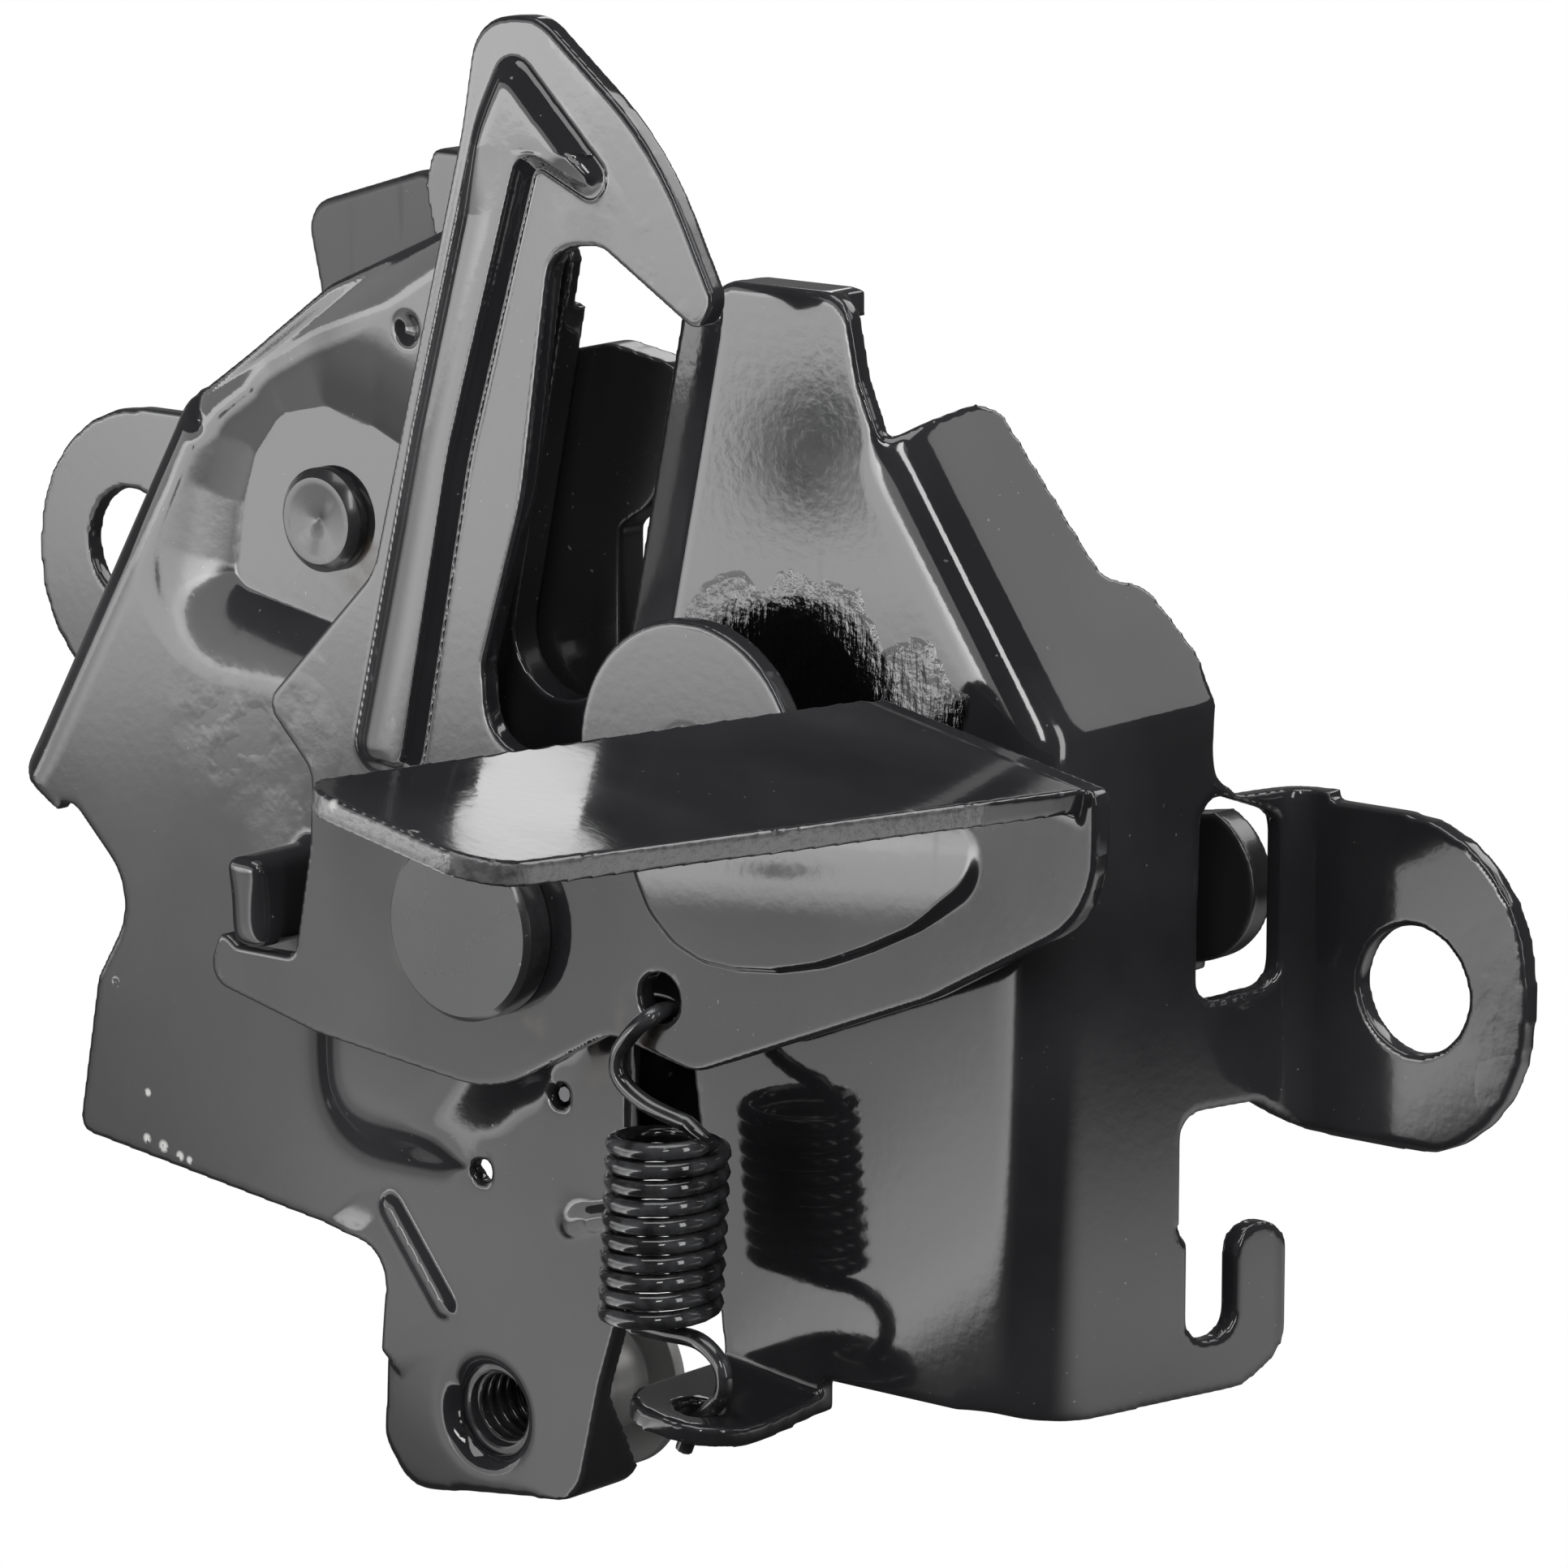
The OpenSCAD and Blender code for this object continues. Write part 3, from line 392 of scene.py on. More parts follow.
def sheet_form(place, normal):
    """How far the press moves a place on the sheet, in mm; backwards is positive."""
    if place.y > form_depth or place.x > form_side:
        return 0.0
    shift = 0.0
    out = far_from_pad
    if place.z > pad_foot:
        out = beyond(pad_core, place.x, place.z) - pad_round
    if out < dish_reach:
        aside = place.x - pad_middle[0]
        above = place.z - pad_middle[1]
        below = held(-above / math.hypot(aside, above)) ** 2
        reach = dish_reach + below * (dish_reach_below - dish_reach)
        depth = pad_depth * held(1.0 - max(out, 0.0) / reach) ** 2
        ripple = pad_ripple
        for wave in (first_wave, second_wave):
            ripple *= math.sin(wave[0] * aside + wave[1] * above)
        if normal.y < -facing_least and out < 0.0:
            shift = depth + ripple * out / -ripple_run - place.y
        elif normal.y < -facing_least and out < front_follows:
            shift = depth - place.y
        elif normal.y > facing_least and out < rear_follows:
            shift = depth + sheet_t - place.y
        else:
            floor = pad_depth + (sheet_t if normal.y > 0.0 else 0.0)
            shift = min(depth - pad_depth * held(1.0 - out / wall_run), max(0.0, floor - place.y))
    if place.z > roll_foot:
        rolls = [drop * held(1.0 - ((place.x - x) * way_x + (place.z - z) * way_z) / reach) ** 2
                 for (x, z), (way_x, way_z), drop, reach in rolled_edges]
        shift += max(rolls) * held((form_depth - place.y) / roll_fade)
    from_x = place.x - kick_start[0]
    from_z = place.z - kick_start[1]
    across = kick_way[1] * from_x - kick_way[0] * from_z
    down = kick_way[0] * from_x + kick_way[1] * from_z
    if 0.0 < across < kick_width:
        fade_in = held((down + kick_fade) / kick_fade)
        fade_out = held((kick_length - down) / kick_fade)
        shift -= kick_rise * across * fade_in * fade_out
    return shift


# Bends that are eased: both ends of each bend's line and the reach of the easing, in mm
right_bends = [((42.0, 1.0, 41.0), (53.0, 2.0, 21.0), 7.0), ((53.0, 2.0, 21.0), (52.0, 2.0, -35.0), 6.0),
               ((55.0, 3.0, 21.6), (59.5, 14.0, 21.8), 6.0)]
right_bends_from = 34.0
right_bends_depth = 20.0
left_bend = ((-46.4, 1.5, 37.0), (-62.8, 1.5, 9.0), 6.0)
left_bend_from = -34.0
# The boss: its left, right, foot and top, the depth of its sheet, and the small holes it stays off
boss_sides = (-32.0, 6.0, -29.0, 2.0)
boss_fade = 4.0
boss_depth = 3.5
small_holes = [(2.2, -16.5), (-7.1, -24.9)]
small_hole_rim = 1.8
small_hole_fade = 2.0
# The stop tab: its left, right, foot, top and depth; the dished hole: its middle, reach and depth
tab_sides = (-31.0, -21.0, -8.0, 6.0)
tab_depth = -1.0
leg_hole = (-6.9, -47.2)
leg_hole_reach = 9.0
leg_hole_depth = 4.0


def bend_reach(place):
    """Share of the bends between the panel and the right walls."""
    if place.x < right_bends_from or place.y > right_bends_depth:
        return 0.0
    return max(along(place, *bend) for bend in right_bends)


def left_bend_reach(place):
    """Share of the bend between the left field and the left wall."""
    return along(place, *left_bend) if place.x < left_bend_from else 0.0


def boss_reach(place):
    """Share of the boss under the lever, kept off the two small holes and the cut edges."""
    if place.y > boss_depth:
        return 0.0
    left, right, foot, top = boss_sides
    share = held(min(place.x - left, right - place.x, place.z - foot, top - place.z) / boss_fade)
    for hole_x, hole_z in small_holes:
        away = math.hypot(place.x - hole_x, place.z - hole_z)
        share = min(share, held((away - small_hole_rim) / small_hole_fade))
    return share


def tab_reach(place):
    """Share of the stop tab and of the dished hole in the leg."""
    left, right, foot, top = tab_sides
    on_tab = left < place.x < right and foot < place.z < top and place.y < tab_depth
    ring = math.hypot(place.x - leg_hole[0], place.z - leg_hole[1])
    return 1.0 if on_tab or (ring < leg_hole_reach and place.y < leg_hole_depth) else 0.0


def joined(tree, operation, first, second):
    """One step of arithmetic on two values in a material."""
    step = tree.nodes.new("ShaderNodeMath")
    step.operation = operation
    for socket, value in zip(step.inputs, (first, second)):
        if isinstance(value, float):
            socket.default_value = value
        else:
            tree.links.new(value, socket)
    return step.outputs["Value"]


def times(tree, *values):
    """Product of values in a material, taken in their order."""
    product = values[0]
    for value in values[1:]:
        product = joined(tree, "MULTIPLY", product, value)
    return product


# A spot's mask is full within its core and gone at its rim, both as shares of its radius
spot_core = 0.55
spot_rim = 1.15


def near_any(tree, place, spots):
    """Mask that is 1 inside every spot and fades at its rim; a spot is a place in mm and a radius."""
    mask = None
    for x, y, z, radius in spots:
        away = tree.nodes.new("ShaderNodeVectorMath")
        away.operation = "DISTANCE"
        away.inputs[1].default_value = Vector((x, y, z)) * millimetre - datum
        tree.links.new(place.outputs["Object"], away.inputs[0])
        fade = tree.nodes.new("ShaderNodeMapRange")
        fade.inputs["From Min"].default_value = spot_rim * radius * millimetre
        fade.inputs["From Max"].default_value = spot_core * radius * millimetre
        tree.links.new(away.outputs["Value"], fade.inputs["Value"])
        spot = fade.outputs["Result"]
        mask = spot if mask is None else joined(tree, "MAXIMUM", mask, spot)
    return mask


def noise(tree, vector, scale, detail):
    """Procedural grain on the piece's own coordinates."""
    grain = tree.nodes.new("ShaderNodeTexNoise")
    grain.inputs["Scale"].default_value = scale
    grain.inputs["Detail"].default_value = detail
    tree.links.new(vector, grain.inputs["Vector"])
    return grain.outputs["Fac"]


def band(tree, value, low, high, to_low, to_high):
    """Value spread from one range to another and held at its ends."""
    spread = tree.nodes.new("ShaderNodeMapRange")
    spread.inputs["From Min"].default_value = low
    spread.inputs["From Max"].default_value = high
    spread.inputs["To Min"].default_value = to_low
    spread.inputs["To Max"].default_value = to_high
    tree.links.new(value, spread.inputs["Value"])
    return spread.outputs["Result"]


def patches(tree, vector, scale, detail, low, high, top=1.0):
    """Loose patches: grain that is 0 below one level and full above another."""
    return band(tree, noise(tree, vector, scale, detail), low, high, 0.0, top)


def stretched(tree, vector, turn, scale):
    """Coordinates turned and scaled, for grain that runs one way."""
    mapping = tree.nodes.new("ShaderNodeMapping")
    mapping.inputs["Rotation"].default_value = turn
    mapping.inputs["Scale"].default_value = scale
    tree.links.new(vector, mapping.inputs["Vector"])
    return mapping.outputs["Vector"]


def axes_of(tree, vector):
    """The three parts of a vector in a material."""
    axes = tree.nodes.new("ShaderNodeSeparateXYZ")
    tree.links.new(vector, axes.inputs["Vector"])
    return axes.outputs


def tinted(tree, mask, under, over):
    """Colour that changes from one to the other by a mask."""
    tint = tree.nodes.new("ShaderNodeMix")
    tint.data_type = "RGBA"
    if isinstance(under, tuple):
        tint.inputs["A"].default_value = under
    else:
        tree.links.new(under, tint.inputs["A"])
    tint.inputs["B"].default_value = over
    tree.links.new(mask, tint.inputs["Factor"])
    return tint.outputs["Result"]


# Marks in the coat: their colours, how much they dull it, and their heights in depths of the bump
dust_grey = (0.42, 0.42, 0.42, 1.0)
# Near black of the brushed crust, partly painted shade
crust_and_shade_black = (0.004, 0.004, 0.004, 1.0)
# Pale grey of the torn sheared faces, partly a painted highlight where they face the light
sheared_and_lit_grey = (0.17, 0.17, 0.172, 1.0)
grease_brown = (0.034, 0.024, 0.014, 1.0)
chip_white = (0.62, 0.62, 0.60, 1.0)
rub_dull = 0.16
crust_dull = 0.12
sheared_dull = 0.22
grease_dull = 0.25
chip_dull = 0.4
peel_height = 0.25
crust_height = 3.2
brush_height = 6.0
torn_height = 3.0
bump_depth = 0.12 * millimetre
top_film_rough = 0.04
rub_turn = (0.3, 0.5, 0.0)
rub_scale = (420.0, 420.0, 26.0)
bristle_turn = (0.0, 0.5, 0.0)
bristle_scale = (1500.0, 300.0, 300.0)


def black_coat(name, body, thin, smooth, rough, peel, crusts=(), greased=(), chips=(), shine=0.6,
               brushed_shade_spots=(), sheared_from=None):
    """Dipped black coat: wandering gloss, orange peel, thin edges, crusts, grease and chips, with painted
    shade on brushed patches and a painted highlight on sheared faces.
    """
    paint = bpy.data.materials.new(name)
    paint.use_nodes = True
    tree = paint.node_tree
    shader = tree.nodes["Principled BSDF"]
    shader.inputs["Specular IOR Level"].default_value = shine
    shader.inputs["Coat Weight"].default_value = shine / 2
    shader.inputs["Coat Roughness"].default_value = top_film_rough
    place = tree.nodes.new("ShaderNodeTexCoord")
    here = place.outputs["Object"]
    # Tone: cloudy coat, thin on the edges
    edge = tree.nodes.new("ShaderNodeNewGeometry")
    edge_line = band(tree, edge.outputs["Pointiness"], 0.52, 0.6, 0.0, 1.0)
    edge_rub = times(tree, edge_line, band(tree, noise(tree, here, 420.0, 4.0), 0.38, 0.6, 0.15, 1.0))
    cloud = noise(tree, here, 38.0, 7.0)
    tone = joined(tree, "MAXIMUM", edge_rub, band(tree, cloud, 0.42, 0.75, 0.0, 0.3))
    colour = tinted(tree, tone, body, thin)
    gloss = band(tree, cloud, 0.36, 0.64, smooth, rough)
    height = times(tree, noise(tree, here, 900.0, 2.0), peel_height)
    # Rub marks: short fine streaks that run with the sheet
    streak = patches(tree, stretched(tree, here, rub_turn, rub_scale), 1.0, 3.0, 0.66, 0.76)
    rub = times(tree, streak, patches(tree, here, 24.0, 2.0, 0.45, 0.62))
    gloss = joined(tree, "ADD", gloss, times(tree, rub, rub_dull))
    # Dust: sparse pale specks caught in the coat
    speck = patches(tree, here, 2300.0, 0.0, 0.83, 0.87, 0.4)
    dust = times(tree, speck, patches(tree, here, 60.0, 1.0, 0.5, 0.6))
    colour = tinted(tree, dust, colour, dust_grey)
    if crusts:
        # Crusts: thick, wrinkled coat that dried in runs
        lumps = noise(tree, here, 330.0, 5.0)
        crust = times(tree, near_any(tree, place, crusts), patches(tree, here, 120.0, 4.0, 0.38, 0.55))
        height = joined(tree, "ADD", height, times(tree, lumps, crust_height, crust))
        gloss = joined(tree, "ADD", gloss, times(tree, crust, crust_dull))
    if brushed_shade_spots:
        # Brushed crust: a patch laid on thick with a stiff brush, on the front only. Its near-black colour
        # is painted shade laid over the real crust.
        ragged = joined(tree, "ADD", near_any(tree, place, brushed_shade_spots), noise(tree, here, 260.0, 5.0))
        on_front = band(tree, axes_of(tree, place.outputs["Normal"])["Y"], -0.2, 0.2, 1.0, 0.0)
        crust_and_shade_patch = times(tree, band(tree, ragged, 0.8, 1.0, 0.0, 1.0), on_front)
        bristles = noise(tree, stretched(tree, here, bristle_turn, bristle_scale), 1.0, 4.0)
        ridges = joined(tree, "ADD", bristles, noise(tree, here, 700.0, 4.0))
        height = joined(tree, "ADD", height, times(tree, ridges, brush_height, crust_and_shade_patch))
        colour = tinted(tree, crust_and_shade_patch, colour, crust_and_shade_black)
    if sheared_from is not None:
        # Sheared edges: on the handle the cut faces are torn across, and their paler grey is partly a
        # painted highlight of faces that catch the light
        steepness = joined(tree, "ABSOLUTE", axes_of(tree, place.outputs["Normal"])["Z"], 0.0)
        upright = band(tree, steepness, 0.35, 0.6, 1.0, 0.0)
        on_handle = band(tree, axes_of(tree, here)["Y"], sheared_from, sheared_from - millimetre, 0.0, 1.0)
        torn = noise(tree, here, 1300.0, 3.0)
        cut_and_lit = times(tree, upright, on_handle, band(tree, torn, 0.3, 0.6, 0.45, 1.0))
        colour = tinted(tree, cut_and_lit, colour, sheared_and_lit_grey)
        gloss = joined(tree, "ADD", gloss, times(tree, cut_and_lit, sheared_dull))
        height = joined(tree, "ADD", height, times(tree, torn, torn_height, cut_and_lit))
    if greased:
        # Grease: brown traces round the moving joints
        film = times(tree, near_any(tree, place, greased), patches(tree, here, 260.0, 5.0, 0.45, 0.6, 0.8))
        colour = tinted(tree, film, colour, grease_brown)
        gloss = joined(tree, "ADD", gloss, times(tree, film, grease_dull))
    if chips:
        # Chips: specks where the coat came off or was never wetted
        chip = times(tree, near_any(tree, place, chips), patches(tree, here, 1500.0, 2.0, 0.40, 0.46))
        colour = tinted(tree, chip, colour, chip_white)
        gloss = joined(tree, "ADD", gloss, times(tree, chip, chip_dull))
    tree.links.new(colour, shader.inputs["Base Color"])
    tree.links.new(gloss, shader.inputs["Roughness"])
    bump = tree.nodes.new("ShaderNodeBump")
    bump.inputs["Strength"].default_value = peel
    bump.inputs["Distance"].default_value = bump_depth
    tree.links.new(height, bump.inputs["Height"])
    tree.links.new(bump.outputs["Normal"], shader.inputs["Normal"])
    return paint


# Places on the sheet in mm from the safety pivot: x, depth, height, radius
sheet_crusts = [(-36, 0, 12, 9), (-30, 0, 3, 6), (85, 26, 0, 6), (86, 26, -8, 4)]
# Brushed crusts on the panel, painted near black as painted shade
sheet_brushed_shade_spots = [(31.0, 0, 24.0, 9.5), (41.0, 0, 22.0, 7.0), (22.0, 0, 27.5, 5.0)]
sheet_grease = [(-22.6, 2, 28.0, 4), (6, 0, -12, 4)]
sheet_chips = [(-52.3, 0, -14.3, 0.5), (-48.4, 0, -24.2, 0.4), (-48.6, 0, -28.6, 0.5),
               (-46.5, 0, -29.0, 0.6), (-44.4, 0, -29.6, 0.5), (-43.2, 0, -29.8, 0.4)]
# Drawn regions of the sheet and the rounds of easing they get
sheet_eased = [(bend_reach, 120), (left_bend_reach, 90), (boss_reach, 220), (tab_reach, 30)]
base_plate = pressed_copy("base_plate", "base_plate_pressing", sheet_voxel, sheet_rounds, sheet_triangles,
                          sheet_form, sheet_eased)
sheet_coat = black_coat("sheet_coat", coat_black, coat_thin, smooth=0.05, rough=0.12, peel=0.22,
                        crusts=sheet_crusts, greased=sheet_grease, chips=sheet_chips, brushed_shade_spots=sheet_brushed_shade_spots)
base_plate.data.materials.append(sheet_coat)
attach(base_plate, "base")
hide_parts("base_plate")

# Back plate: a flat stamping behind the claw, held by the two spun pins. It has the same coat, and
# its turned-up left corner shows over the edge of the base plate.
blank_voxel = 0.3 * millimetre
blank_rounds = 4
blank_triangles = 40000
back_plate = pressed_copy("back_plate", "back_plate_stamping", blank_voxel, blank_rounds, blank_triangles)
back_coat = black_coat("back_coat", coat_black, coat_thin, smooth=0.24, rough=0.34, peel=0.3, shine=0.25)
back_plate.data.materials.append(back_coat)
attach(back_plate, "base")
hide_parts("back_plate")

# Leg bush: a turned steel bush with a flange at its rear end, pressed behind the dished hole of the
# leg and tapped M8. The turns of the thread are cut inside its bore.
bush_grey = (0.62, 0.61, 0.60, 1.0)
bush_rough = 0.32
bush_streaks = (1.0, 12.0, 1.0)
bush_edge = 0.25 * millimetre
thread_pitch = 1.25 * millimetre
thread_core = 3.4 * millimetre
thread_rib = 0.34 * millimetre
turn_points = 24
# The leg's coat reaches this many core radii from the bore's axis, and this far back on the bush
coat_spread = 1.2
coat_run = 0.5 * millimetre
edge_segments = 2
sharp_from = math.radians(35)
steel_metallic = 0.2
streak_size = 40.0
streak_detail = 5.0
streak_dark = 0.55
streak_gloss = (0.8, 1.3)
wire_resolution = 3
bush_low, bush_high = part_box("leg_bush")
bush_middle = (Vector(bush_low) + Vector(bush_high)) / 2


def eased_node(node, width, paint):
    """Breaks the sharp edges of a CAD node with modifiers, paints it and returns its object."""
    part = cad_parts[node]
    weld = part.modifiers.new("weld", "WELD")
    weld.merge_threshold = weld_gap
    bevel = part.modifiers.new("broken_edges", "BEVEL")
    bevel.width = width
    bevel.segments = edge_segments
    bevel.limit_method = "ANGLE"
    bevel.angle_limit = sharp_from
    part.data.materials.clear()
    part.data.materials.append(paint)
    return part


def plain_steel(name, colour, rough, streak_scale):
    """Bare turned or drawn steel with fine streaks."""
    paint = bpy.data.materials.new(name)
    paint.use_nodes = True
    tree = paint.node_tree
    shader = tree.nodes["Principled BSDF"]
    shader.inputs["Metallic"].default_value = steel_metallic
    place = tree.nodes.new("ShaderNodeTexCoord")
    drawn_out = stretched(tree, place.outputs["Object"], (0.0, 0.0, 0.0), streak_scale)
    streak = noise(tree, drawn_out, streak_size, streak_detail)
    dark = tuple(streak_dark * part for part in colour[:3]) + (1.0,)
    tree.links.new(tinted(tree, streak, dark, colour), shader.inputs["Base Color"])
    gloss = band(tree, streak, 0.0, 1.0, rough * streak_gloss[0], rough * streak_gloss[1])
    tree.links.new(gloss, shader.inputs["Roughness"])
    return paint


def wire_piece(name, points, wire_d):
    """Round wire through points, made a mesh with its place in its vertices."""
    bpy.ops.object.select_all(action="DESELECT")
    data = bpy.data.curves.new(name, "CURVE")
    data.dimensions = "3D"
    data.bevel_depth = wire_d / 2
    data.bevel_resolution = wire_resolution
    data.use_fill_caps = True
    run = data.splines.new("POLY")
    run.points.add(len(points) - 1)
    for spot, point in zip(run.points, points):
        spot.co = (point[0], point[1], point[2], 1.0)
    piece = bpy.data.objects.new(name, data)
    bpy.context.scene.collection.objects.link(piece)
    bpy.context.view_layer.objects.active = piece
    piece.select_set(True)
    bpy.ops.object.convert(target="MESH")
    piece = bpy.context.object
    bpy.ops.object.shade_smooth()
    return piece


bush_steel = plain_steel("turned_steel", bush_grey, bush_rough, bush_streaks)
leg_bush = eased_node("leg_bush", bush_edge, bush_steel)
thread_coat = black_coat("thread_coat", coat_black, coat_thin, smooth=0.12, rough=0.2, peel=0.1)
leg_bush.data.materials.append(thread_coat)
# The coat of the leg has run over the bush's front and into its bore
for face in leg_bush.data.polygons:
    off_axis = math.hypot(face.center.x - bush_middle.x, face.center.z - bush_middle.z)
    coated = off_axis < coat_spread * thread_core or face.center.y < bush_low[1] + coat_run
    face.material_index = 1 if coated else 0
thread_turns = int((bush_high[1] - bush_low[1]) / thread_pitch) - 1
thread_path = []
for step in range(thread_turns * turn_points + 1):
    angle = 2 * math.pi * step / turn_points
    depth = bush_low[1] + thread_pitch * (0.5 + step / turn_points)
    thread_path.append((bush_middle.x + thread_core * math.cos(angle), depth,
                        bush_middle.z + thread_core * math.sin(angle)))
bush_thread = wire_piece("bush_thread", thread_path, 2 * thread_rib)
bush_thread.data.materials.append(thread_coat)
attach(bush_thread, "base")

# Claw: a thick fine-blanked plate that turns on the claw rivet. It stands open, with its lower jaw
# across the striker slot, and its black coat is duller than the sheet's.
claw_black = (0.020, 0.020, 0.021, 1.0)
claw_edge = (0.06, 0.06, 0.062, 1.0)
claw = pressed_copy("claw", "claw_blank", blank_voxel, blank_rounds, blank_triangles)
claw_coat = black_coat("claw_coat", claw_black, claw_edge, smooth=0.22, rough=0.34, peel=0.2)
claw.data.materials.append(claw_coat)
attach(claw, "claw")
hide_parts("claw")

# Claw rivet: a shouldered steel pin whose front end is spun over in the recessed pad, with a faint
# centre dimple. A post on its rear end carries the claw spring.
rivet_black = (0.030, 0.030, 0.032, 1.0)
rivet_edge = 0.3 * millimetre
rivet_coat = black_coat("rivet_coat", rivet_black, coat_thin, smooth=0.24, rough=0.36, peel=0.3)
eased_node("claw_rivet", rivet_edge, rivet_coat)

# Claw spring and pawl spring: wound steel wire that returns the claw and the pawl, both hidden
# behind the sheet. Their turns are drawn in the solids and only get their oiled wire finish here.
spring_grey = (0.20, 0.20, 0.21, 1.0)
spring_rough = 0.3
spring_streaks = (6.0, 6.0, 6.0)
spring_steel = plain_steel("oiled_wire", spring_grey, spring_rough, spring_streaks)
for wound in ("claw_spring", "pawl_spring"):
    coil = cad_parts[wound]
    weld = coil.modifiers.new("weld", "WELD")
    weld.merge_threshold = weld_gap
    coil.data.materials.clear()
    coil.data.materials.append(spring_steel)

# Pawl and its bush: a blanked and stepped lever that catches the claw, turning on a plain steel
# sleeve over the safety pivot. Its rounded end shows in the opening of the right wall.
ring_edge = 0.15 * millimetre
pawl = pressed_copy("pawl", "pawl_blank", blank_voxel, blank_rounds, blank_triangles)
pawl.data.materials.append(claw_coat)
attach(pawl, "pawl")
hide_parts("pawl")
for turned in ("pawl_bush", "safety_washer"):
    eased_node(turned, ring_edge, bush_steel)

# Safety lever: a stamping with a hook, a beaded stem and a folded handle, dipped in the same black coat.
# The cut edges of the handle show the shear marks of the press, and their paler grey is partly a painted
# highlight.
lever_voxel = 0.2 * millimetre
lever_rounds = 7
lever_triangles = 170000
draw_rounds = 40
handle_from = -48 * millimetre
# Raised forms of the lever in mm: the depth of its front face, then how far in front of it they
# count as raised, the side that the bead stays left of, and the foot of the handle's fold
lever_front = -7.75
raised_from = 0.12
raised_to = 1.6
bead_side = 17.0
fold_foot = 17.5
# The bead: its lift, the least and the most lift that is shaped, the drop of its crown away from the
# crest, its foot and top, and its two borders as a corner and a slope for the lower and upper stem
bead_lift = 1.4
least_lift = 0.15
most_lift = 1.2
bead_crown = 1.0
bead_crest = 0.75
bead_foot = 8.0
bead_top = 68.0
bead_fade = 6.0
bead_left = [((-15.0, 12.0), 0.252), ((-7.2, 43.0), 0.281)]
bead_right = [((-7.0, 12.0), 0.21), ((-0.9, 41.0), 0.306)]
# Its right side is steeper: from which share of the width, over which share, and between which lifts
steep_from = 0.5
steep_fade = 0.2
steep_foot = 0.35
steep_run = 0.5
# The arm's dome: its left, right, foot and top, its core and round, and the fall from its crest line
arm_sides = (15.0, 59.0, -1.5, 20.0)
arm_sunk = -0.12
arm_facing = -0.1
arm_core = [(22.3, 8.6), (23.2, 7.0), (24.6, 5.8), (26.4, 5.1), (29.0, 5.0), (32.7, 5.4), (37.0, 6.5),
            (41.8, 8.4), (46.5, 10.7), (50.4, 13.2), (22.3, 9.9)]
arm_round = 5.0
arm_rise = 0.75
crest_start = (23.0, 2.7)
crest_slope = 0.1
fall_across = 0.006
fall_along = 0.0008
arm_middle = 37.0
# The dome's step up from the plate: its run, which grows towards the arm's right end
step_run = 0.6
step_growth = 1.0
growth_from = 48.0
growth_reach = 5.0


def lever_draw(place):
    """1 on the raised bead and the raised arm of the lever, 0 on the handle and its fold."""
    on_front = lever_front - raised_to < place.y < lever_front - raised_from
    return 1.0 if on_front and (place.x < bead_side or place.z < fold_foot) else 0.0


def border(lines, z):
    """Where a border of the bead lies at a height; its second line takes over at its own corner."""
    lower, upper = lines
    (corner_x, corner_z), slope = lower if z < upper[0][1] else upper
    return corner_x + slope * (z - corner_z)


def lever_form(place, normal):
    """Crown of the bead along the stem and dome of the raised arm, in mm backwards."""
    lift = (lever_front - place.y) / bead_lift
    x = place.x
    z = place.z
    arm_left, arm_right, arm_foot, arm_top = arm_sides
    on_arm = arm_left < x < arm_right and arm_foot < z < arm_top
    if on_arm and arm_sunk < lift < most_lift and normal.y < arm_facing:
        inside = arm_round - beyond(arm_core, x, z)
        if inside <= 0.0:
            return max(lift, 0.0) * bead_lift
        off_crest = z - crest_start[1] - crest_slope * (x - crest_start[0])
        dome = arm_rise - fall_across * off_crest ** 2 - fall_along * (x - arm_middle) ** 2
        rise = held(inside / (step_run + step_growth * held((x - growth_from) / growth_reach)))
        return lift * bead_lift - dome * rise * rise * (3.0 - 2.0 * rise)
    if lift < least_lift or lift > most_lift:
        return 0.0
    if x < bead_side and bead_foot < z < bead_top:
        left = border(bead_left, z)
        right = border(bead_right, z)
        over = (x - left) / (right - left)
        steep_share = held((over - steep_from) / steep_fade)
        steep = lift + steep_share * (held((lift - steep_foot) / steep_run) - lift)
        crown = bead_crown * ((bead_crest - over) / bead_crest) ** 2 * held((bead_top - z) / bead_fade)
        return (lift - steep) * bead_lift + crown * held(steep)
    return 0.0


# Places on the lever in mm from the safety pivot: x, depth, height, radius
lever_crusts = [(19.6, -7.8, 59, 5), (13, -7.8, 62.6, 4), (-21.7, -7.8, 14, 5)]
lever_grease = [(5, -7.8, -8.4, 3), (18, -7.8, -6, 3.5), (-8, -7.8, -4, 2.5)]
lever_chips = [(57.5, -79, 27, 0.7), (50, -79.6, 28.6, 0.5), (46, -79, 29, 0.6), (66.4, -50, 24, 0.5)]
lever_coat = black_coat("lever_coat", coat_black, coat_thin, smooth=0.06, rough=0.15, peel=0.25,
                        crusts=lever_crusts, greased=lever_grease, chips=lever_chips,
                        sheared_from=handle_from)
lever = pressed_copy("safety_lever", "safety_lever_stamping", lever_voxel, lever_rounds, lever_triangles,
                     lever_form, [(lever_draw, draw_rounds)])
lever.data.materials.append(lever_coat)
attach(lever, "lever")
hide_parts("safety_lever")

# Safety pivot: a wide flat head on a stepped stud, spun over behind the back plate. The lever turns
# on its first step.
head_edge = 0.4 * millimetre
eased_node("safety_pivot", head_edge, rivet_coat)
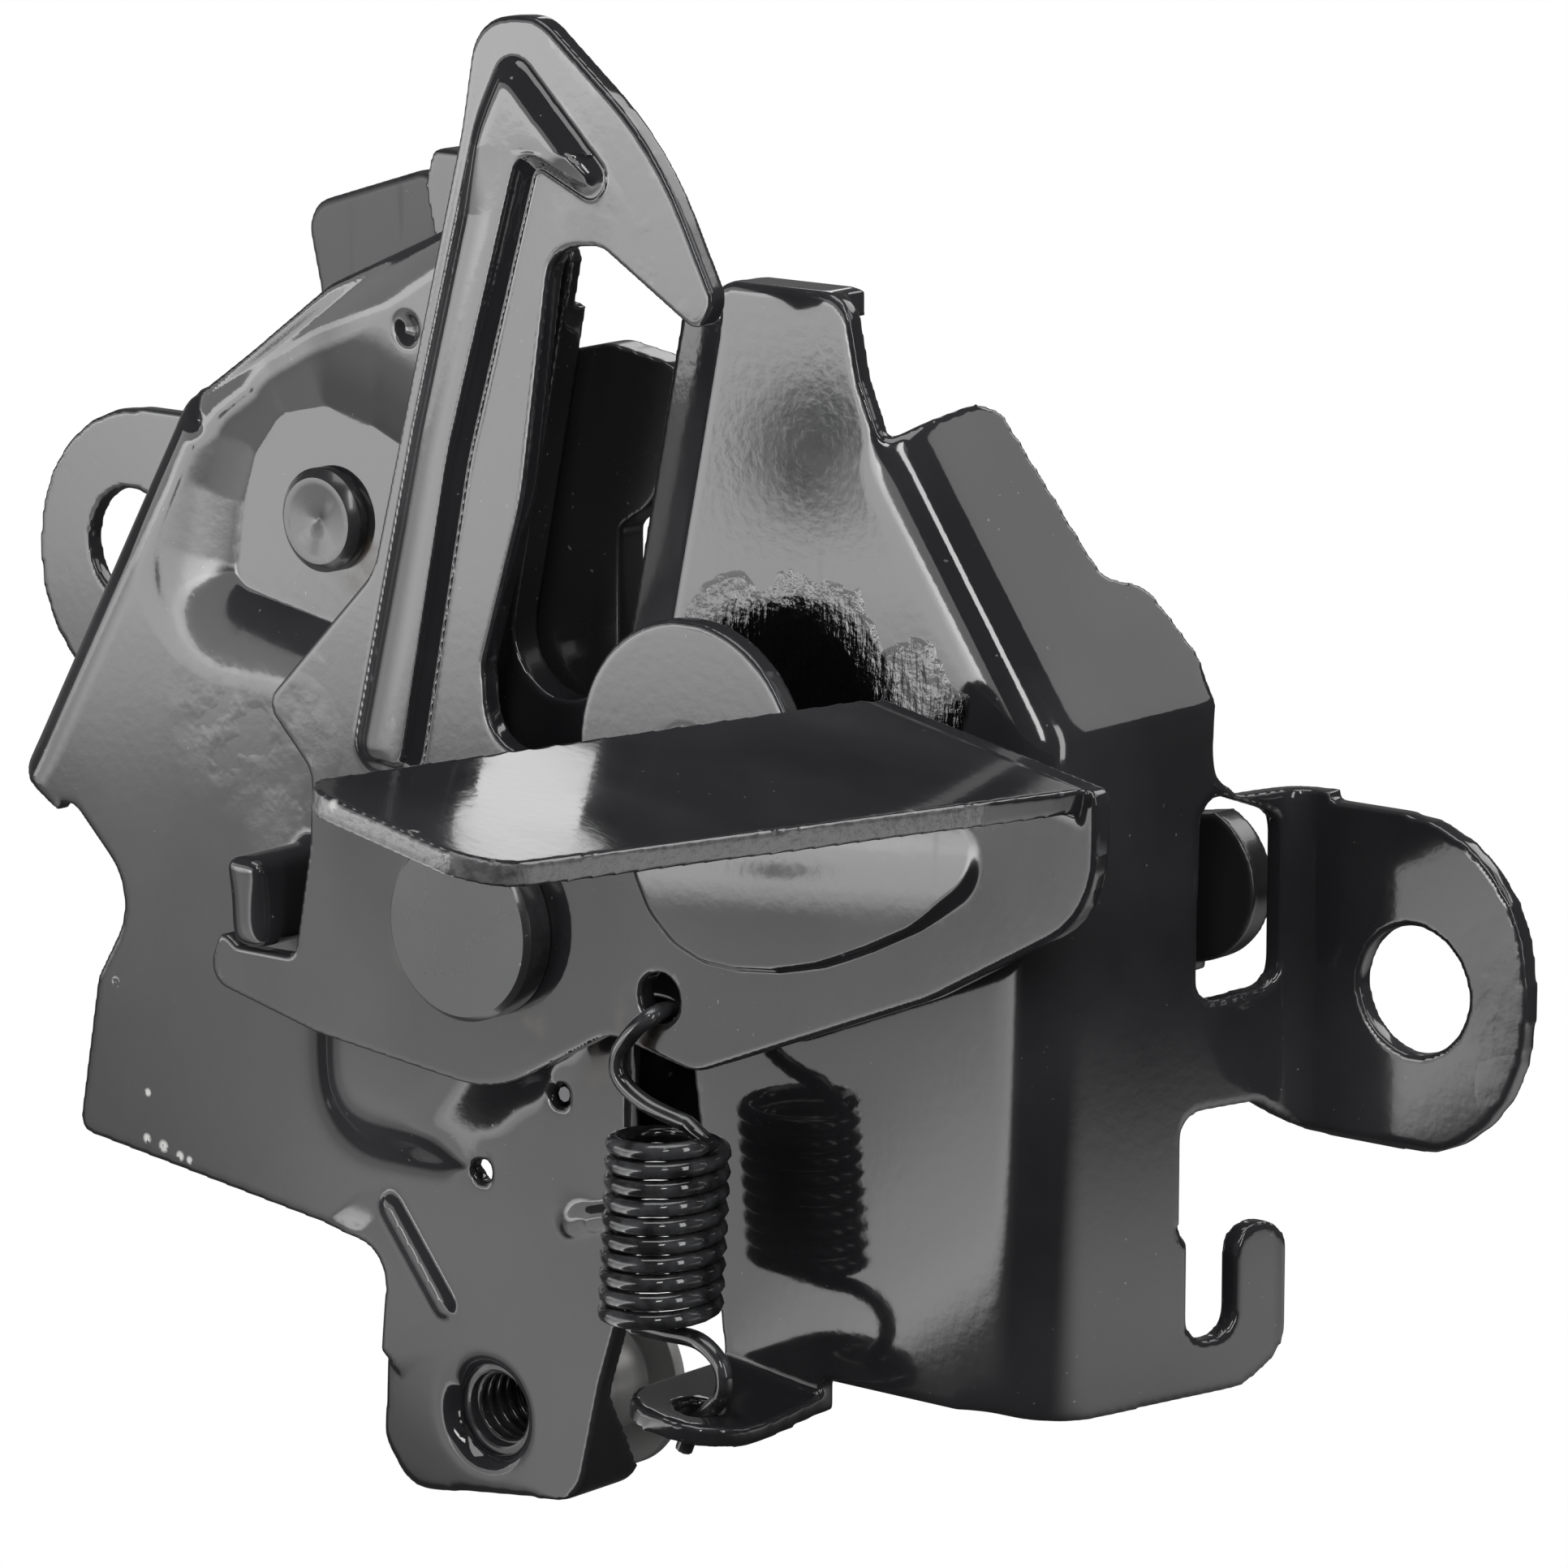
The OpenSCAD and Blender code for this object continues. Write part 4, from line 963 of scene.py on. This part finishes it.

# Safety spring: close-wound black wire with an open hook at each end, one in the lever's hole and one in
# the tab at the foot of the panel.
wire_black = (0.010, 0.010, 0.011, 1.0)
spring_wire = 1.56 * millimetre
spring_turns = 9.5
steps_per_turn = 20
hook_steps = 6
coil_top = Vector((0.0222, -0.00865, -0.0152)) - datum
coil_foot = Vector((0.0223, -0.00995, -0.0306)) - datum
coil_r = 4.7 * millimetre
top_hook = [(20.0, -4.25, -6.6), (20.3, -4.95, -5.3), (20.4, -6.75, -4.8), (20.2, -8.65, -5.1),
            (19.0, -9.35, -6.3), (17.4, -9.55, -8.6), (17.6, -9.55, -10.8), (20.4, -9.35, -12.6),
            (24.6, -9.05, -13.7)]
foot_hook = [(20.2, -11.15, -31.8), (23.6, -10.85, -31.9), (27.4, -10.8, -32.0), (30.0, -11.0, -33.6),
             (30.2, -11.0, -36.0), (28.6, -11.0, -37.9), (26.9, -11.0, -39.6), (25.8, -11.0, -41.8)]


def smooth_run(points, steps):
    """Even curve through the given points."""
    run = []
    for i in range(len(points) - 1):
        a = points[max(i - 1, 0)]
        b = points[i]
        c = points[i + 1]
        d = points[min(i + 2, len(points) - 1)]
        for k in range(steps):
            t = k / steps
            run.append(0.5 * (2 * b + (c - a) * t + (2 * a - 5 * b + 4 * c - d) * t * t
                              + (3 * b - 3 * c + d - a) * t * t * t))
    run.append(points[-1])
    return run


spring_path = smooth_run([Vector(p) * millimetre - datum for p in top_hook], hook_steps)
turn_steps = int(spring_turns * steps_per_turn)
for step in range(turn_steps + 1):
    angle = -2 * math.pi * step / steps_per_turn
    middle = coil_top.lerp(coil_foot, step / turn_steps)
    spring_path.append(middle + Vector((coil_r * math.cos(angle), coil_r * math.sin(angle), 0.0)))
spring_path += smooth_run([Vector(p) * millimetre - datum for p in foot_hook], hook_steps)
safety_spring = wire_piece("safety_spring_wire", spring_path, spring_wire)
wire_coat = black_coat("wire_coat", wire_black, coat_thin, smooth=0.08, rough=0.16, peel=0.05)
safety_spring.data.materials.append(wire_coat)
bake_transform(safety_spring)
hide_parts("safety_spring")
